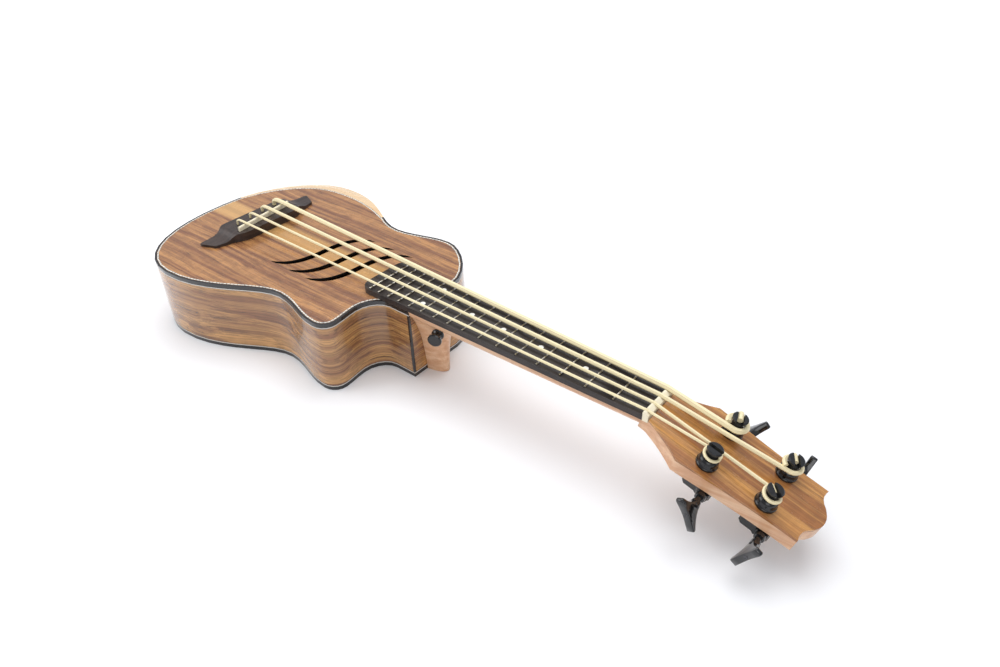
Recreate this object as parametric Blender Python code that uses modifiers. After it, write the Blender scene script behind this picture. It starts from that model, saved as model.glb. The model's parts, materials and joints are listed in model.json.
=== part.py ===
"""Bass ukulele, lying on its back, tail towards -X, strings up.

Three frames carry the pieces. The instrument frame has the tail edge of the body at X = 0 and
the back on Z = 0. The neck frame has the front of the nut at x = 0 and the playing face of the
fretboard at z = 0. The head frame starts behind the nut, with the face of the headstock at z = 0.
The bass side is +Y. Strings are numbered from the thinnest, on the treble side.
"""
import math

import bmesh
import bpy
from mathutils import Matrix, Vector

# Driving dimensions in metres and degrees

GAP = 0.0003
SCALE_LENGTH = 0.540
JOINT_FRET = 12
FRET_COUNT = 16

BODY_DEPTH = 0.085
LOWER_BOUT_WIDTH = 0.275
LOWER_BOUT_AT = 0.091
WAIST_WIDTH = 0.178
WAIST_AT = 0.232
UPPER_BOUT_WIDTH = 0.206
UPPER_BOUT_AT = 0.303
BODY_LENGTH = 0.368
SHOULDER_HALF_WIDTH = 0.038
HORN_TIP_AT = 0.321
CUTAWAY_WALL_AT = 0.318

PLATE_THICKNESS = 0.0025
RIB_THICKNESS = 0.0022
BINDING_WIDTH = 0.0022
BINDING_HEIGHT = 0.0055
LINING_WIDTH = 0.0040
LINING_HEIGHT = 0.0120
CORNER_STRIP_SIDE = 0.0025
BLOCK_LENGTH = 0.042
TAIL_BLOCK_LENGTH = 0.022
TAIL_BLOCK_WIDTH = 0.070

ARMREST_WIDTH = 0.024
ARMREST_DEPTH = 0.013
ARMREST_SLOPE = 0.28
ARMREST_END_WIDTH = 0.003
ARMREST_TAIL_Y = 0.018
ARMREST_WAIST_X = 0.193

SLIT_PLACES = (0.2015, 0.2330, 0.2625)
SLIT_HALF_SPAN = 0.0515
SLIT_HOOK = 0.033
SLIT_HALF_WIDTH = 0.0043

NECK_PITCH = 1.2
BOARD_THICKNESS = 0.0060
BOARD_OVER_TOP = 0.0061
BOARD_OVERHANG = 0.0685
BOARD_CORNER = 0.013
NUT_WIDTH = 0.0435
LAST_FRET_WIDTH = 0.0650
NECK_DEPTH_AT_NUT = 0.0195
NECK_DEPTH_AT_HEEL = 0.0235
FRET_INSET = 0.00135
FRET_CROWN_WIDTH = 0.0019
FRET_CROWN_HEIGHT = 0.0009
FRET_TANG_WIDTH = 0.0006
FRET_TANG_DEPTH = 0.0017

NUT_THICKNESS = 0.0055
NUT_TOP = 0.0040
NUT_BACK_TOP = 0.0008
STRING_AT_NUT = 0.0020
STRING_AT_SADDLE = 0.0045
NUT_SPREAD = 0.0353
SADDLE_SPREAD = 0.0593
STRING_DIAMETERS = (0.00267, 0.00315, 0.00424, 0.00546)

BRIDGE_BACK_AT = 0.0665
BRIDGE_FRONT_AT = 0.1075
BRIDGE_HEIGHT = 0.0105
BRIDGE_HALF_WIDTH = 0.0795
BRIDGE_BLOCK_HALF = 0.044
WING_THICKNESS = 0.0032
SADDLE_THICKNESS = 0.0032
SADDLE_LENGTH = 0.080
SADDLE_SLOT_DEPTH = 0.0065
SADDLE_TREBLE_AT = 0.0965
SADDLE_BASS_AT = 0.0895
HOLE_BEHIND_SADDLE = 0.0160
HOLE_CLEARANCE = 0.00045

HEAD_ANGLE = 14.5
HEAD_DROP = 0.0020
HEAD_LENGTH = 0.157
HEAD_SHOULDER_AT = 0.040
HEAD_SHOULDER_HALF = 0.0394
HEAD_TIP_AT = 0.147
HEAD_TIP_HALF = 0.0322
HEAD_CUSP_AT = 0.1520
HEAD_CUSP_HALF = 0.0140
VENEER_THICKNESS = 0.0020
HEAD_THICKNESS = 0.0145

POST_PLACES = ((0.0585, -0.0230), (0.1125, -0.0205), (0.1125, 0.0205), (0.0585, 0.0230))
SLOT_ANGLES = (0.0, -44.0, -60.0, -71.0)
KEY_ANGLES = (-48.0, 72.0, 90.0, 60.0)
WINDING_TURNS = (1.28, 0.95, 0.90, 0.86)
POST_RADIUS = 0.0045
WAIST_RADIUS = 0.0052
CAP_RADIUS = 0.0072
CAP_UNDERSIDE = 0.0170
CAP_TOP = 0.0210
FERRULE_RADIUS = 0.0096
FERRULE_HEIGHT = 0.0090
FERRULE_SHANK_RADIUS = 0.0057
FERRULE_SHANK_DEPTH = 0.0110
WHEEL_TEETH = 20
WHEEL_RADIUS = 0.0070
WHEEL_THICKNESS = 0.0055
WORM_RADIUS = 0.0030
THREAD_RADIUS = 0.0008
WORM_HALF_LENGTH = 0.0055
KEY_SHAFT_HEIGHT = 0.0048
HOUSING_HEIGHT = 0.0115
HOUSING_WALL = 0.0016
HOUSING_ARM_HALF = 0.0050
HOUSING_ARM_SHORT = 0.0015
KEY_STEM_CLEAR = 0.0105
KEY_LENGTH = 0.0195
KEY_SPAN = 0.0320
KEY_THICKNESS = 0.0064

BUTTON_RADIUS = 0.0075
BUTTON_LENGTH = 0.0125
BUTTON_SHANK = 0.0022
HEEL_BUTTON_BACK = 0.0300
HEEL_BUTTON_DROP = 0.0270
HEEL_BUTTON_SEAT = 0.0195
HEEL_BUTTON_TURN = 24.0
END_PIN_HEIGHT = 0.0425

# Sizes that follow from them

PITCH = math.radians(NECK_PITCH)
TILT = math.radians(HEAD_ANGLE)
HEAD_START = NUT_THICKNESS + 2 * GAP
WORM_OFFSET = WHEEL_RADIUS + WORM_RADIUS + 1.5 * THREAD_RADIUS + GAP
WORM_LEVEL = -HEAD_THICKNESS - GAP - KEY_SHAFT_HEIGHT


def fret_distance(number):
    """Distance of a fret from the front of the nut."""
    return SCALE_LENGTH * (1 - 2 ** (-number / 12))


NUT_AT = BODY_LENGTH + fret_distance(JOINT_FRET)
BOARD_LENGTH = fret_distance(JOINT_FRET) + BOARD_OVERHANG
NUT_HEIGHT = BODY_DEPTH + BOARD_OVER_TOP - fret_distance(JOINT_FRET) * math.sin(PITCH)


def board_half_width(distance):
    """Half the width of the fretboard at a distance from the nut."""
    taper = (LAST_FRET_WIDTH - NUT_WIDTH) / fret_distance(FRET_COUNT)
    return 0.5 * (NUT_WIDTH + taper * distance)


CORNER_Y = -board_half_width(fret_distance(JOINT_FRET))

# Scene and materials


def clear_scene():
    for item in list(bpy.data.objects):
        bpy.data.objects.remove(item, do_unlink=True)


def new_collection(name):
    collection = bpy.data.collections.new(name)
    bpy.context.scene.collection.children.link(collection)
    return collection


def material(name, colour, roughness, metallic=0.0):
    """A Principled material with one colour."""
    made = bpy.data.materials.new(name)
    made.use_nodes = True
    shader = made.node_tree.nodes["Principled BSDF"]
    shader.inputs["Base Color"].default_value = (*colour, 1.0)
    shader.inputs["Roughness"].default_value = roughness
    shader.inputs["Metallic"].default_value = metallic
    made.diffuse_color = (*colour, 1.0)
    return made


def frame(name, parent, place, turn=(0.0, 0.0, 0.0)):
    """An empty that carries the pieces of one frame."""
    empty = bpy.data.objects.new(name, None)
    empty.location = place
    empty.rotation_euler = turn
    empty.parent = parent
    parts.objects.link(empty)
    return empty


def finish(name, mesh, parent, look, tool=False, place=(0.0, 0.0, 0.0), turn=(0.0, 0.0, 0.0)):
    """Links a mesh as a piece of the object, or as a tool that cuts or joins."""
    made = bpy.data.objects.new(name, mesh)
    made.location = place
    made.rotation_euler = turn
    made.parent = parent
    (tools if tool else parts).objects.link(made)
    if tool:
        made.hide_render = True
        made.display_type = "WIRE"
    elif look:
        mesh.materials.clear()
        mesh.materials.append(look)
    return made


def combine(target, other, operation):
    """Cuts, joins or keeps the common volume of two solids."""
    boolean = target.modifiers.new(operation.lower(), "BOOLEAN")
    boolean.operation = operation
    boolean.solver = "EXACT"
    boolean.object = other


def round_edges(target, width, segments=2, angle=35.0):
    """Rounds the sharp edges of a piece."""
    bevel = target.modifiers.new("rounding", "BEVEL")
    bevel.width = width
    bevel.segments = segments
    bevel.limit_method = "ANGLE"
    bevel.angle_limit = math.radians(angle)


def smooth(mesh, angle=35.0):
    mesh.shade_smooth()
    mesh.set_sharp_from_angle(angle=math.radians(angle))


# Mesh builders


def mesh_from_curve(curve):
    """Evaluates a curve, welds its caps and returns a closed mesh."""
    guide = bpy.data.objects.new("guide", curve)
    bpy.context.scene.collection.objects.link(guide)
    view = bpy.context.evaluated_depsgraph_get()
    mesh = bpy.data.meshes.new_from_object(guide.evaluated_get(view))
    bpy.data.objects.remove(guide, do_unlink=True)
    bpy.data.curves.remove(curve)
    shape = bmesh.new()
    shape.from_mesh(mesh)
    bmesh.ops.remove_doubles(shape, verts=shape.verts, dist=1e-6)
    bmesh.ops.recalc_face_normals(shape, faces=shape.faces)
    shape.to_mesh(mesh)
    shape.free()
    return mesh


def prism_mesh(name, loops, low, high):
    """A flat outline with holes, filled from one height to another."""
    curve = bpy.data.curves.new(name, "CURVE")
    curve.dimensions = "2D"
    curve.fill_mode = "BOTH"
    curve.extrude = 0.5 * (high - low)
    for loop in loops:
        spline = curve.splines.new("POLY")
        spline.points.add(len(loop) - 1)
        for point, place in zip(spline.points, loop):
            point.co = (place[0], place[1], 0.0, 1.0)
        spline.use_cyclic_u = True
    mesh = mesh_from_curve(curve)
    mesh.transform(Matrix.Translation((0.0, 0.0, 0.5 * (high + low))))
    return mesh


def upright_mesh(name, outline, half_length):
    """An outline drawn in x and z, extruded both ways along y."""
    mesh = prism_mesh(name, [outline], -half_length, half_length)
    mesh.transform(Matrix.Rotation(math.pi / 2, 4, "X"))
    return mesh


def across_mesh(name, outline, half_length):
    """An outline drawn in y and z, extruded both ways along x."""
    mesh = prism_mesh(name, [outline], -half_length, half_length)
    turn = Matrix(((0, 0, 1, 0), (1, 0, 0, 0), (0, 1, 0, 0), (0, 0, 0, 1)))
    mesh.transform(turn)
    return mesh


def box_mesh(name, low, high):
    """A box between two corners."""
    mesh = bpy.data.meshes.new(name)
    shape = bmesh.new()
    bmesh.ops.create_cube(shape, size=1.0)
    size = Vector(high) - Vector(low)
    centre = 0.5 * (Vector(high) + Vector(low))
    bmesh.ops.scale(shape, vec=size, verts=shape.verts)
    bmesh.ops.translate(shape, vec=centre, verts=shape.verts)
    shape.to_mesh(mesh)
    shape.free()
    return mesh


def cylinder_mesh(name, radius, low, high, sides=16):
    """A cylinder along z."""
    mesh = bpy.data.meshes.new(name)
    shape = bmesh.new()
    bmesh.ops.create_cone(
        shape, cap_ends=True, segments=sides, radius1=radius, radius2=radius, depth=high - low
    )
    bmesh.ops.translate(shape, vec=(0, 0, 0.5 * (high + low)), verts=shape.verts)
    shape.to_mesh(mesh)
    shape.free()
    return mesh


def tube_mesh(name, points, radius, resolution=1, swell=None):
    """A round tube along points, with filled ends; swell gives each point's share of the radius."""
    curve = bpy.data.curves.new(name, "CURVE")
    curve.dimensions = "3D"
    curve.bevel_depth = radius
    curve.bevel_resolution = resolution
    curve.use_fill_caps = True
    spline = curve.splines.new("POLY")
    spline.points.add(len(points) - 1)
    for number, place in enumerate(points):
        spline.points[number].co = (*place, 1.0)
        spline.points[number].radius = swell[number] if swell else 1.0
    return mesh_from_curve(curve)


def turned(name, profile, parent, look, steps=20, closed=False, **place):
    """A turned piece: the profile runs down its outer side, from the top."""
    mesh = bpy.data.meshes.new(name)
    edges = [(number, number + 1) for number in range(len(profile) - 1)]
    if closed:
        edges.append((len(profile) - 1, 0))
    mesh.from_pydata([(radius, 0.0, height) for radius, height in profile], edges, [])
    made = finish(name, mesh, parent, look, **place)
    screw = made.modifiers.new("turning", "SCREW")
    screw.axis = "Z"
    screw.steps = steps
    screw.render_steps = steps
    screw.use_merge_vertices = True
    screw.merge_threshold = 0.00001
    screw.use_smooth_shade = True
    return made


def loft_mesh(name, sections):
    """A skin over sections with the same number of points, closed at both ends."""
    mesh = bpy.data.meshes.new(name)
    shape = bmesh.new()
    rows = [[shape.verts.new(point) for point in section] for section in sections]
    count = len(sections[0])
    for first, second in zip(rows, rows[1:]):
        for number in range(count):
            follow = (number + 1) % count
            shape.faces.new((first[number], first[follow], second[follow], second[number]))
    shape.faces.new(rows[0])
    shape.faces.new(rows[-1])
    bmesh.ops.recalc_face_normals(shape, faces=shape.faces)
    shape.to_mesh(mesh)
    shape.free()
    return mesh


def bezier(start, start_handle, end_handle, end, steps):
    """Points of one Bezier stretch, without its last point."""
    made = []
    for step in range(steps):
        t = step / steps
        s = 1 - t
        weights = (s * s * s, 3 * s * s * t, 3 * s * t * t, t * t * t)
        corners = (start, start_handle, end_handle, end)
        size = len(start)
        made.append(tuple(sum(w * c[axis] for w, c in zip(weights, corners)) for axis in range(size)))
    return made


def mirrored(points):
    """The same stretch on the other side, in the opposite order."""
    return [(x, -y) for x, y in reversed(points)]


# Body outline


def half_outline(steps=9):
    """Bass half of the body from the tail to the upper bout, as x and y."""
    low_y = 0.5 * LOWER_BOUT_WIDTH
    waist_y = 0.5 * WAIST_WIDTH
    up_y = 0.5 * UPPER_BOUT_WIDTH
    rise = 0.64 * low_y
    reach = 0.60 * LOWER_BOUT_AT
    to_waist = WAIST_AT - LOWER_BOUT_AT
    to_upper = UPPER_BOUT_AT - WAIST_AT
    points = bezier(
        (0.0, 0.5 * GAP), (0.0, rise), (LOWER_BOUT_AT - reach, low_y), (LOWER_BOUT_AT, low_y), steps
    )
    points += bezier(
        (LOWER_BOUT_AT, low_y),
        (LOWER_BOUT_AT + 0.49 * to_waist, low_y),
        (WAIST_AT - 0.255 * to_waist, waist_y),
        (WAIST_AT, waist_y),
        steps,
    )
    points += bezier(
        (WAIST_AT, waist_y),
        (WAIST_AT + 0.37 * to_upper, waist_y),
        (UPPER_BOUT_AT - 0.37 * to_upper, up_y),
        (UPPER_BOUT_AT, up_y),
        steps - 3,
    )
    points.append((UPPER_BOUT_AT, up_y))
    return points


def shoulder_points(steps=7):
    """Bass shoulder from the upper bout to the flat front of the body."""
    up_y = 0.5 * UPPER_BOUT_WIDTH
    run = BODY_LENGTH - UPPER_BOUT_AT
    fall = up_y - SHOULDER_HALF_WIDTH
    start = (UPPER_BOUT_AT, up_y)
    end = (BODY_LENGTH, SHOULDER_HALF_WIDTH)
    first = (UPPER_BOUT_AT + 0.35 * run, up_y)
    second = (BODY_LENGTH, SHOULDER_HALF_WIDTH + 0.43 * fall)
    return bezier(start, first, second, end, steps)[1:] + [end]


def cutaway_points(steps=5):
    """Horn and hollow of the cutaway, from the upper bout to the corner strip, at -y."""
    up_y = -0.5 * UPPER_BOUT_WIDTH
    horn_y = up_y + 0.016
    wall_y = up_y + 0.045
    throat_x = CUTAWAY_WALL_AT + 0.023
    points = bezier(
        (UPPER_BOUT_AT, up_y),
        (UPPER_BOUT_AT + 0.011, up_y),
        (HORN_TIP_AT, horn_y - 0.009),
        (HORN_TIP_AT, horn_y),
        steps,
    )[1:]
    points += bezier(
        (HORN_TIP_AT, horn_y),
        (HORN_TIP_AT, horn_y + 0.008),
        (CUTAWAY_WALL_AT, wall_y - 0.008),
        (CUTAWAY_WALL_AT, wall_y),
        3,
    )
    points += bezier(
        (CUTAWAY_WALL_AT, wall_y),
        (CUTAWAY_WALL_AT, wall_y + 0.55 * (CORNER_Y - wall_y)),
        (throat_x - 0.013, CORNER_Y),
        (throat_x, CORNER_Y),
        steps,
    )
    points.append((throat_x, CORNER_Y))
    points.append((BODY_LENGTH - CORNER_STRIP_SIDE, CORNER_Y))
    return points


def body_outline():
    """Closed outline, counter-clockwise, and the place of each of its stretches."""
    half = half_outline()
    treble = [(x, -y) for x, y in half] + cutaway_points()
    corner = [(BODY_LENGTH, CORNER_Y)]
    front = [(BODY_LENGTH, CORNER_Y + CORNER_STRIP_SIDE), (BODY_LENGTH, 0.0)]
    bass = front + list(reversed(shoulder_points())) + list(reversed(half))
    ranges = {
        "treble": (0, len(treble) - 1),
        "corner": len(treble),
        "bass": (len(treble) + 1, len(treble) + len(bass)),
    }
    return treble + corner + bass, ranges


def inset(outline, depths):
    """Moves each point of a closed outline inwards; depths is a size or a list of sizes."""
    count = len(outline)
    if not isinstance(depths, list):
        depths = [depths] * count
    made = []
    for number, depth in enumerate(depths):
        here = Vector(outline[number])
        before = (here - Vector(outline[number - 1])).normalized()
        after = (Vector(outline[(number + 1) % count]) - here).normalized()
        first = Vector((-before.y, before.x))
        second = Vector((-after.y, after.x))
        mitre = (first + second) / (1 + first.dot(second))
        made.append(tuple(here + depth * mitre))
    return made


def strip_mesh(name, outline, start, end, outer, inner, low, high):
    """A strip along part of the outline, between two insets and two heights."""
    outside = inset(outline, outer)
    inside = inset(outline, inner)
    numbers = [number % len(outline) for number in range(start, end + 1)]
    loop = [outside[number] for number in numbers] + [inside[number] for number in reversed(numbers)]
    return prism_mesh(name, [loop], low, high)


def armrest_range(outline, ranges):
    """First and last outline number of the armrest, from the waist to the tail."""
    first, last = ranges["bass"]
    numbers = range(first, last + 1)
    start = min(
        (n for n in numbers if outline[n][0] < WAIST_AT),
        key=lambda n: abs(outline[n][0] - ARMREST_WAIST_X),
    )
    tail = (n for n in numbers if outline[n][0] < 0.5 * LOWER_BOUT_AT)
    end = min(tail, key=lambda n: abs(outline[n][1] - ARMREST_TAIL_Y))
    return start, end


def split_at_armrest(outline, ranges):
    """Adds an outline point a gap outside each end of the armrest, where its neighbours stop."""
    start, end = armrest_range(outline, ranges)
    before = Vector(outline[start]) + GAP * (Vector(outline[start - 1]) - Vector(outline[start])).normalized()
    after = Vector(outline[end]) + GAP * (Vector(outline[end + 1]) - Vector(outline[end])).normalized()
    split = outline[:start] + [tuple(before)] + outline[start:end + 1] + [tuple(after)] + outline[end + 1:]
    first, last = ranges["bass"]
    return split, dict(ranges, bass=(first, last + 2)), start + 1, end + 1


def armrest_widths(outline, start, end):
    """Width of the armrest at each of its outline points."""
    travelled = [0.0]
    for number in range(start, end):
        step = Vector(outline[number + 1]) - Vector(outline[number])
        travelled.append(travelled[-1] + step.length)
    crown = ARMREST_WIDTH - ARMREST_END_WIDTH
    share = [math.sin(math.pi * distance / travelled[-1]) for distance in travelled]
    return [ARMREST_END_WIDTH + crown * max(value, 0.0) ** 1.3 for value in share]


# Body pieces


def slit_outline(place):
    """One sound slit: a leaf along an S, pointed at both ends."""
    tip = (SLIT_HOOK, SLIT_HALF_SPAN)
    first = (0.0015, 0.39 * SLIT_HALF_SPAN)
    second = (0.004, 0.89 * SLIT_HALF_SPAN)
    steps = 9
    arm = bezier((0.0, 0.0), first, second, tip, steps) + [tip]
    centre = [(-x, -y) for x, y in reversed(arm[1:])] + arm
    left = []
    right = []
    for number in range(1, len(centre) - 1):
        along = (Vector(centre[number + 1]) - Vector(centre[number - 1])).normalized()
        share = abs(number - steps) / steps
        taper = max(0.0, (share - 0.35) / 0.65)
        half = SLIT_HALF_WIDTH * (1 - taper * taper) ** 0.7
        side = Vector((-along.y, along.x)) * half
        left.append(tuple(Vector(centre[number]) + side))
        right.append(tuple(Vector(centre[number]) - side))
    loop = [centre[0]] + left + [centre[-1]] + list(reversed(right))
    return [(x + place, y) for x, y in loop]


def circle(centre, radius, sides=12):
    turn = 2 * math.pi / sides
    return [
        (centre[0] + radius * math.cos(n * turn), centre[1] + radius * math.sin(n * turn))
        for n in range(sides)
    ]


def saddle_x(y):
    """Place of the slanted saddle line along the body at a given y."""
    slope = (SADDLE_BASS_AT - SADDLE_TREBLE_AT) / SADDLE_SPREAD
    return 0.5 * (SADDLE_BASS_AT + SADDLE_TREBLE_AT) + slope * y


def string_share(number):
    """Place of a string across the spread, from -0.5 on the treble side to 0.5."""
    return number / 3 - 0.5


def string_holes():
    """Centres of the four string holes in the bridge and the top."""
    holes = []
    for number in range(4):
        y = string_share(number) * SADDLE_SPREAD * 1.01
        holes.append((saddle_x(y) - HOLE_BEHIND_SADDLE, y))
    return holes


def hole_loops():
    radii = [0.5 * diameter + HOLE_CLEARANCE for diameter in STRING_DIAMETERS]
    return [circle(centre, radius) for centre, radius in zip(string_holes(), radii)]


def make_body(instrument, outline, ranges):
    top_low = BODY_DEPTH - PLATE_THICKNESS
    lining_inset = RIB_THICKNESS + GAP
    lining_inner = lining_inset + LINING_WIDTH
    outline, ranges, start, end = split_at_armrest(outline, ranges)
    widths = armrest_widths(outline, start, end)

    make_ribs(instrument, outline, ranges, start, end)
    corner = ranges["corner"]
    outline = [point for number, point in enumerate(outline) if abs(number - corner) != 1]
    start, end = start - 2, end - 2
    edge = [BINDING_WIDTH + GAP] * len(outline)
    for number, width in enumerate(widths):
        edge[start + number] = width + GAP
    slits = [slit_outline(place) for place in SLIT_PLACES]
    top = prism_mesh("top", [inset(outline, edge)] + slits + hole_loops(), top_low, BODY_DEPTH)
    finish("top_plate", top, instrument, LOOKS["koa"])
    back = prism_mesh("back", [inset(outline, BINDING_WIDTH + GAP)], 0.0, PLATE_THICKNESS)
    finish("back_plate", back, instrument, LOOKS["koa"])

    total = len(outline)
    binding = strip_mesh(
        "binding", outline, end + 1, total + start - 1, 0.0, BINDING_WIDTH, BODY_DEPTH - BINDING_HEIGHT,
        BODY_DEPTH,
    )
    finish("binding_top", binding, instrument, LOOKS["binding"])
    loops = [outline, inset(outline, BINDING_WIDTH)]
    finish("binding_back", prism_mesh("binding", loops, 0.0, BINDING_HEIGHT), instrument, LOOKS["binding"])

    lining_top_low = top_low - GAP - LINING_HEIGHT
    lining_top = strip_mesh(
        "lining", outline, end + 2, total + start - 2, lining_inset, lining_inner, lining_top_low,
        top_low - GAP,
    )
    finish("lining_top", lining_top, instrument, LOOKS["spruce"])
    lining_back_low = PLATE_THICKNESS + GAP
    loops = [inset(outline, lining_inset), inset(outline, lining_inner)]
    lining_back = prism_mesh("lining", loops, lining_back_low, lining_back_low + LINING_HEIGHT)
    finish("lining_back", lining_back, instrument, LOOKS["spruce"])

    make_armrest(instrument, outline, start, widths)
    make_blocks(instrument, outline, lining_inner)
    make_braces(instrument, outline, lining_inner)


def make_ribs(instrument, outline, ranges, start, end):
    """Both ribs, the bass one lower under the armrest, and the strip at the cutaway corner."""
    rib_low = BINDING_HEIGHT + GAP
    rib_high = BODY_DEPTH - BINDING_HEIGHT - GAP
    first, last = ranges["treble"]
    rib = strip_mesh("rib", outline, first, last, 0.0, RIB_THICKNESS, rib_low, rib_high)
    ribs["treble"] = finish("rib_treble", rib, instrument, LOOKS["koa"])
    first, last = ranges["bass"]
    inside = inset(outline, RIB_THICKNESS)
    under_armrest = BODY_DEPTH - ARMREST_DEPTH - GAP
    sections = []
    for number in range(first, last + 1):
        high = under_armrest if start <= number <= end else rib_high
        outer, inner = outline[number], inside[number]
        sections.append([(*outer, rib_low), (*inner, rib_low), (*inner, high), (*outer, high)])
    rib = finish("rib_bass", loft_mesh("rib", sections), instrument, LOOKS["koa"])
    ribs["bass"] = rib

    corner_low = (BODY_LENGTH - CORNER_STRIP_SIDE + GAP, CORNER_Y, rib_low)
    corner_high = (BODY_LENGTH, CORNER_Y + CORNER_STRIP_SIDE - GAP, rib_high)
    strip = box_mesh("corner", corner_low, corner_high)
    finish("corner_strip", strip, instrument, LOOKS["binding"])


def make_armrest(instrument, outline, start, widths):
    """Bevelled rest for the forearm on the bass side of the lower bout."""
    total = len(outline)
    sections = []
    for number, width in enumerate(widths):
        here = start + number
        depths = [0.0] * total
        ring = []
        drop = ARMREST_SLOPE * (width - ARMREST_END_WIDTH)
        low = BODY_DEPTH - ARMREST_DEPTH
        profile = (
            (width, low), (width, BODY_DEPTH), (0.5 * width, BODY_DEPTH - 0.38 * drop),
            (0.0, BODY_DEPTH - drop), (0.0, low),
        )
        for depth, height in profile:
            depths[here] = depth
            x, y = inset(outline, depths)[here]
            ring.append((x, y, height))
        sections.append(ring)
    finish("armrest", loft_mesh("armrest", sections), instrument, LOOKS["maple"])


def make_blocks(instrument, outline, lining_inner):
    """Neck block and tail block, which stand inside the linings."""
    low = PLATE_THICKNESS + GAP
    high = BODY_DEPTH - PLATE_THICKNESS - GAP
    room = inset(outline, lining_inner + GAP)
    side = CORNER_Y + lining_inner + GAP
    front = BODY_LENGTH - lining_inner - GAP
    neck_block = box_mesh("block", (BODY_LENGTH - BLOCK_LENGTH, side, low), (front, -side, high))
    blocks["neck_block"] = finish("neck_block", neck_block, instrument, LOOKS["mahogany"])
    half = 0.5 * TAIL_BLOCK_WIDTH
    curve = sorted((p for p in room if p[0] < TAIL_BLOCK_LENGTH and abs(p[1]) < half), key=lambda p: p[1])
    far = lining_inner + TAIL_BLOCK_LENGTH
    loop = curve + [(far, curve[-1][1]), (far, curve[0][1])]
    tail_block = prism_mesh("block", [loop], low, high)
    blocks["tail_block"] = finish("tail_block", tail_block, instrument, LOOKS["mahogany"])


def crossing(room, x):
    """Lowest and highest y at which a closed outline crosses a place along the body."""
    found = []
    for first, second in zip(room, room[1:] + room[:1]):
        if (first[0] - x) * (second[0] - x) < 0:
            share = (x - first[0]) / (second[0] - first[0])
            found.append(first[1] + share * (second[1] - first[1]))
    return min(found), max(found)


def make_braces(instrument, outline, lining_inner):
    """Bars across the top and the back, and the plate under the bridge."""
    top_low = BODY_DEPTH - PLATE_THICKNESS - GAP
    back_high = PLATE_THICKNESS + GAP
    room = inset(outline, lining_inner + GAP)
    bars = (
        ("brace_top", 0.3000, 0.0080, top_low - 0.0140, top_low),
        ("brace_back_upper", 0.2500, 0.0100, back_high, back_high + 0.0130),
        ("brace_back_lower", 0.1150, 0.0100, back_high, back_high + 0.0130),
    )
    for name, place, width, low, high in bars:
        near, far = place - 0.5 * width, place + 0.5 * width
        near_low, near_high = crossing(room, near)
        far_low, far_high = crossing(room, far)
        loop = [(near, near_low), (far, far_low), (far, far_high), (near, near_high)]
        finish(name, prism_mesh(name, [loop], low, high), instrument, LOOKS["spruce"])
    half = BRIDGE_HALF_WIDTH - 0.004
    loop = [
        (BRIDGE_BACK_AT - 0.004, -half), (BRIDGE_FRONT_AT + 0.004, -half),
        (BRIDGE_FRONT_AT + 0.004, half), (BRIDGE_BACK_AT - 0.004, half),
    ]
    plate = prism_mesh("bridge_plate", [loop] + hole_loops(), top_low - 0.0025, top_low)
    finish("bridge_plate", plate, instrument, LOOKS["maple"])


# Bridge and saddle


def bridge_outline():
    """Plan of the bridge: a block with two wings."""
    half = BRIDGE_HALF_WIDTH
    block = BRIDGE_BLOCK_HALF
    back = BRIDGE_BACK_AT
    front = BRIDGE_FRONT_AT
    wing_back = back + 0.0055
    wing_front = front - 0.0095
    tip_front = front - 0.0135
    side = [(back, block - 0.006)]
    side += bezier((back, block - 0.006), (back, block + 0.004), (wing_back, block + 0.006),
                   (wing_back, block + 0.014), 4)[1:]
    side += [(wing_back, half - 0.002), (wing_back + 0.0015, half)]
    side += [(wing_back + 0.004, half - 0.0004), (tip_front - 0.001, half - 0.0072)]
    side += [(tip_front, half - 0.0095)]
    side += bezier((wing_front, block + 0.014), (wing_front, block + 0.002), (front, block + 0.001),
                   (front, block - 0.012), 5)
    side.append((front, block - 0.012))
    return side + mirrored(side)


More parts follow.
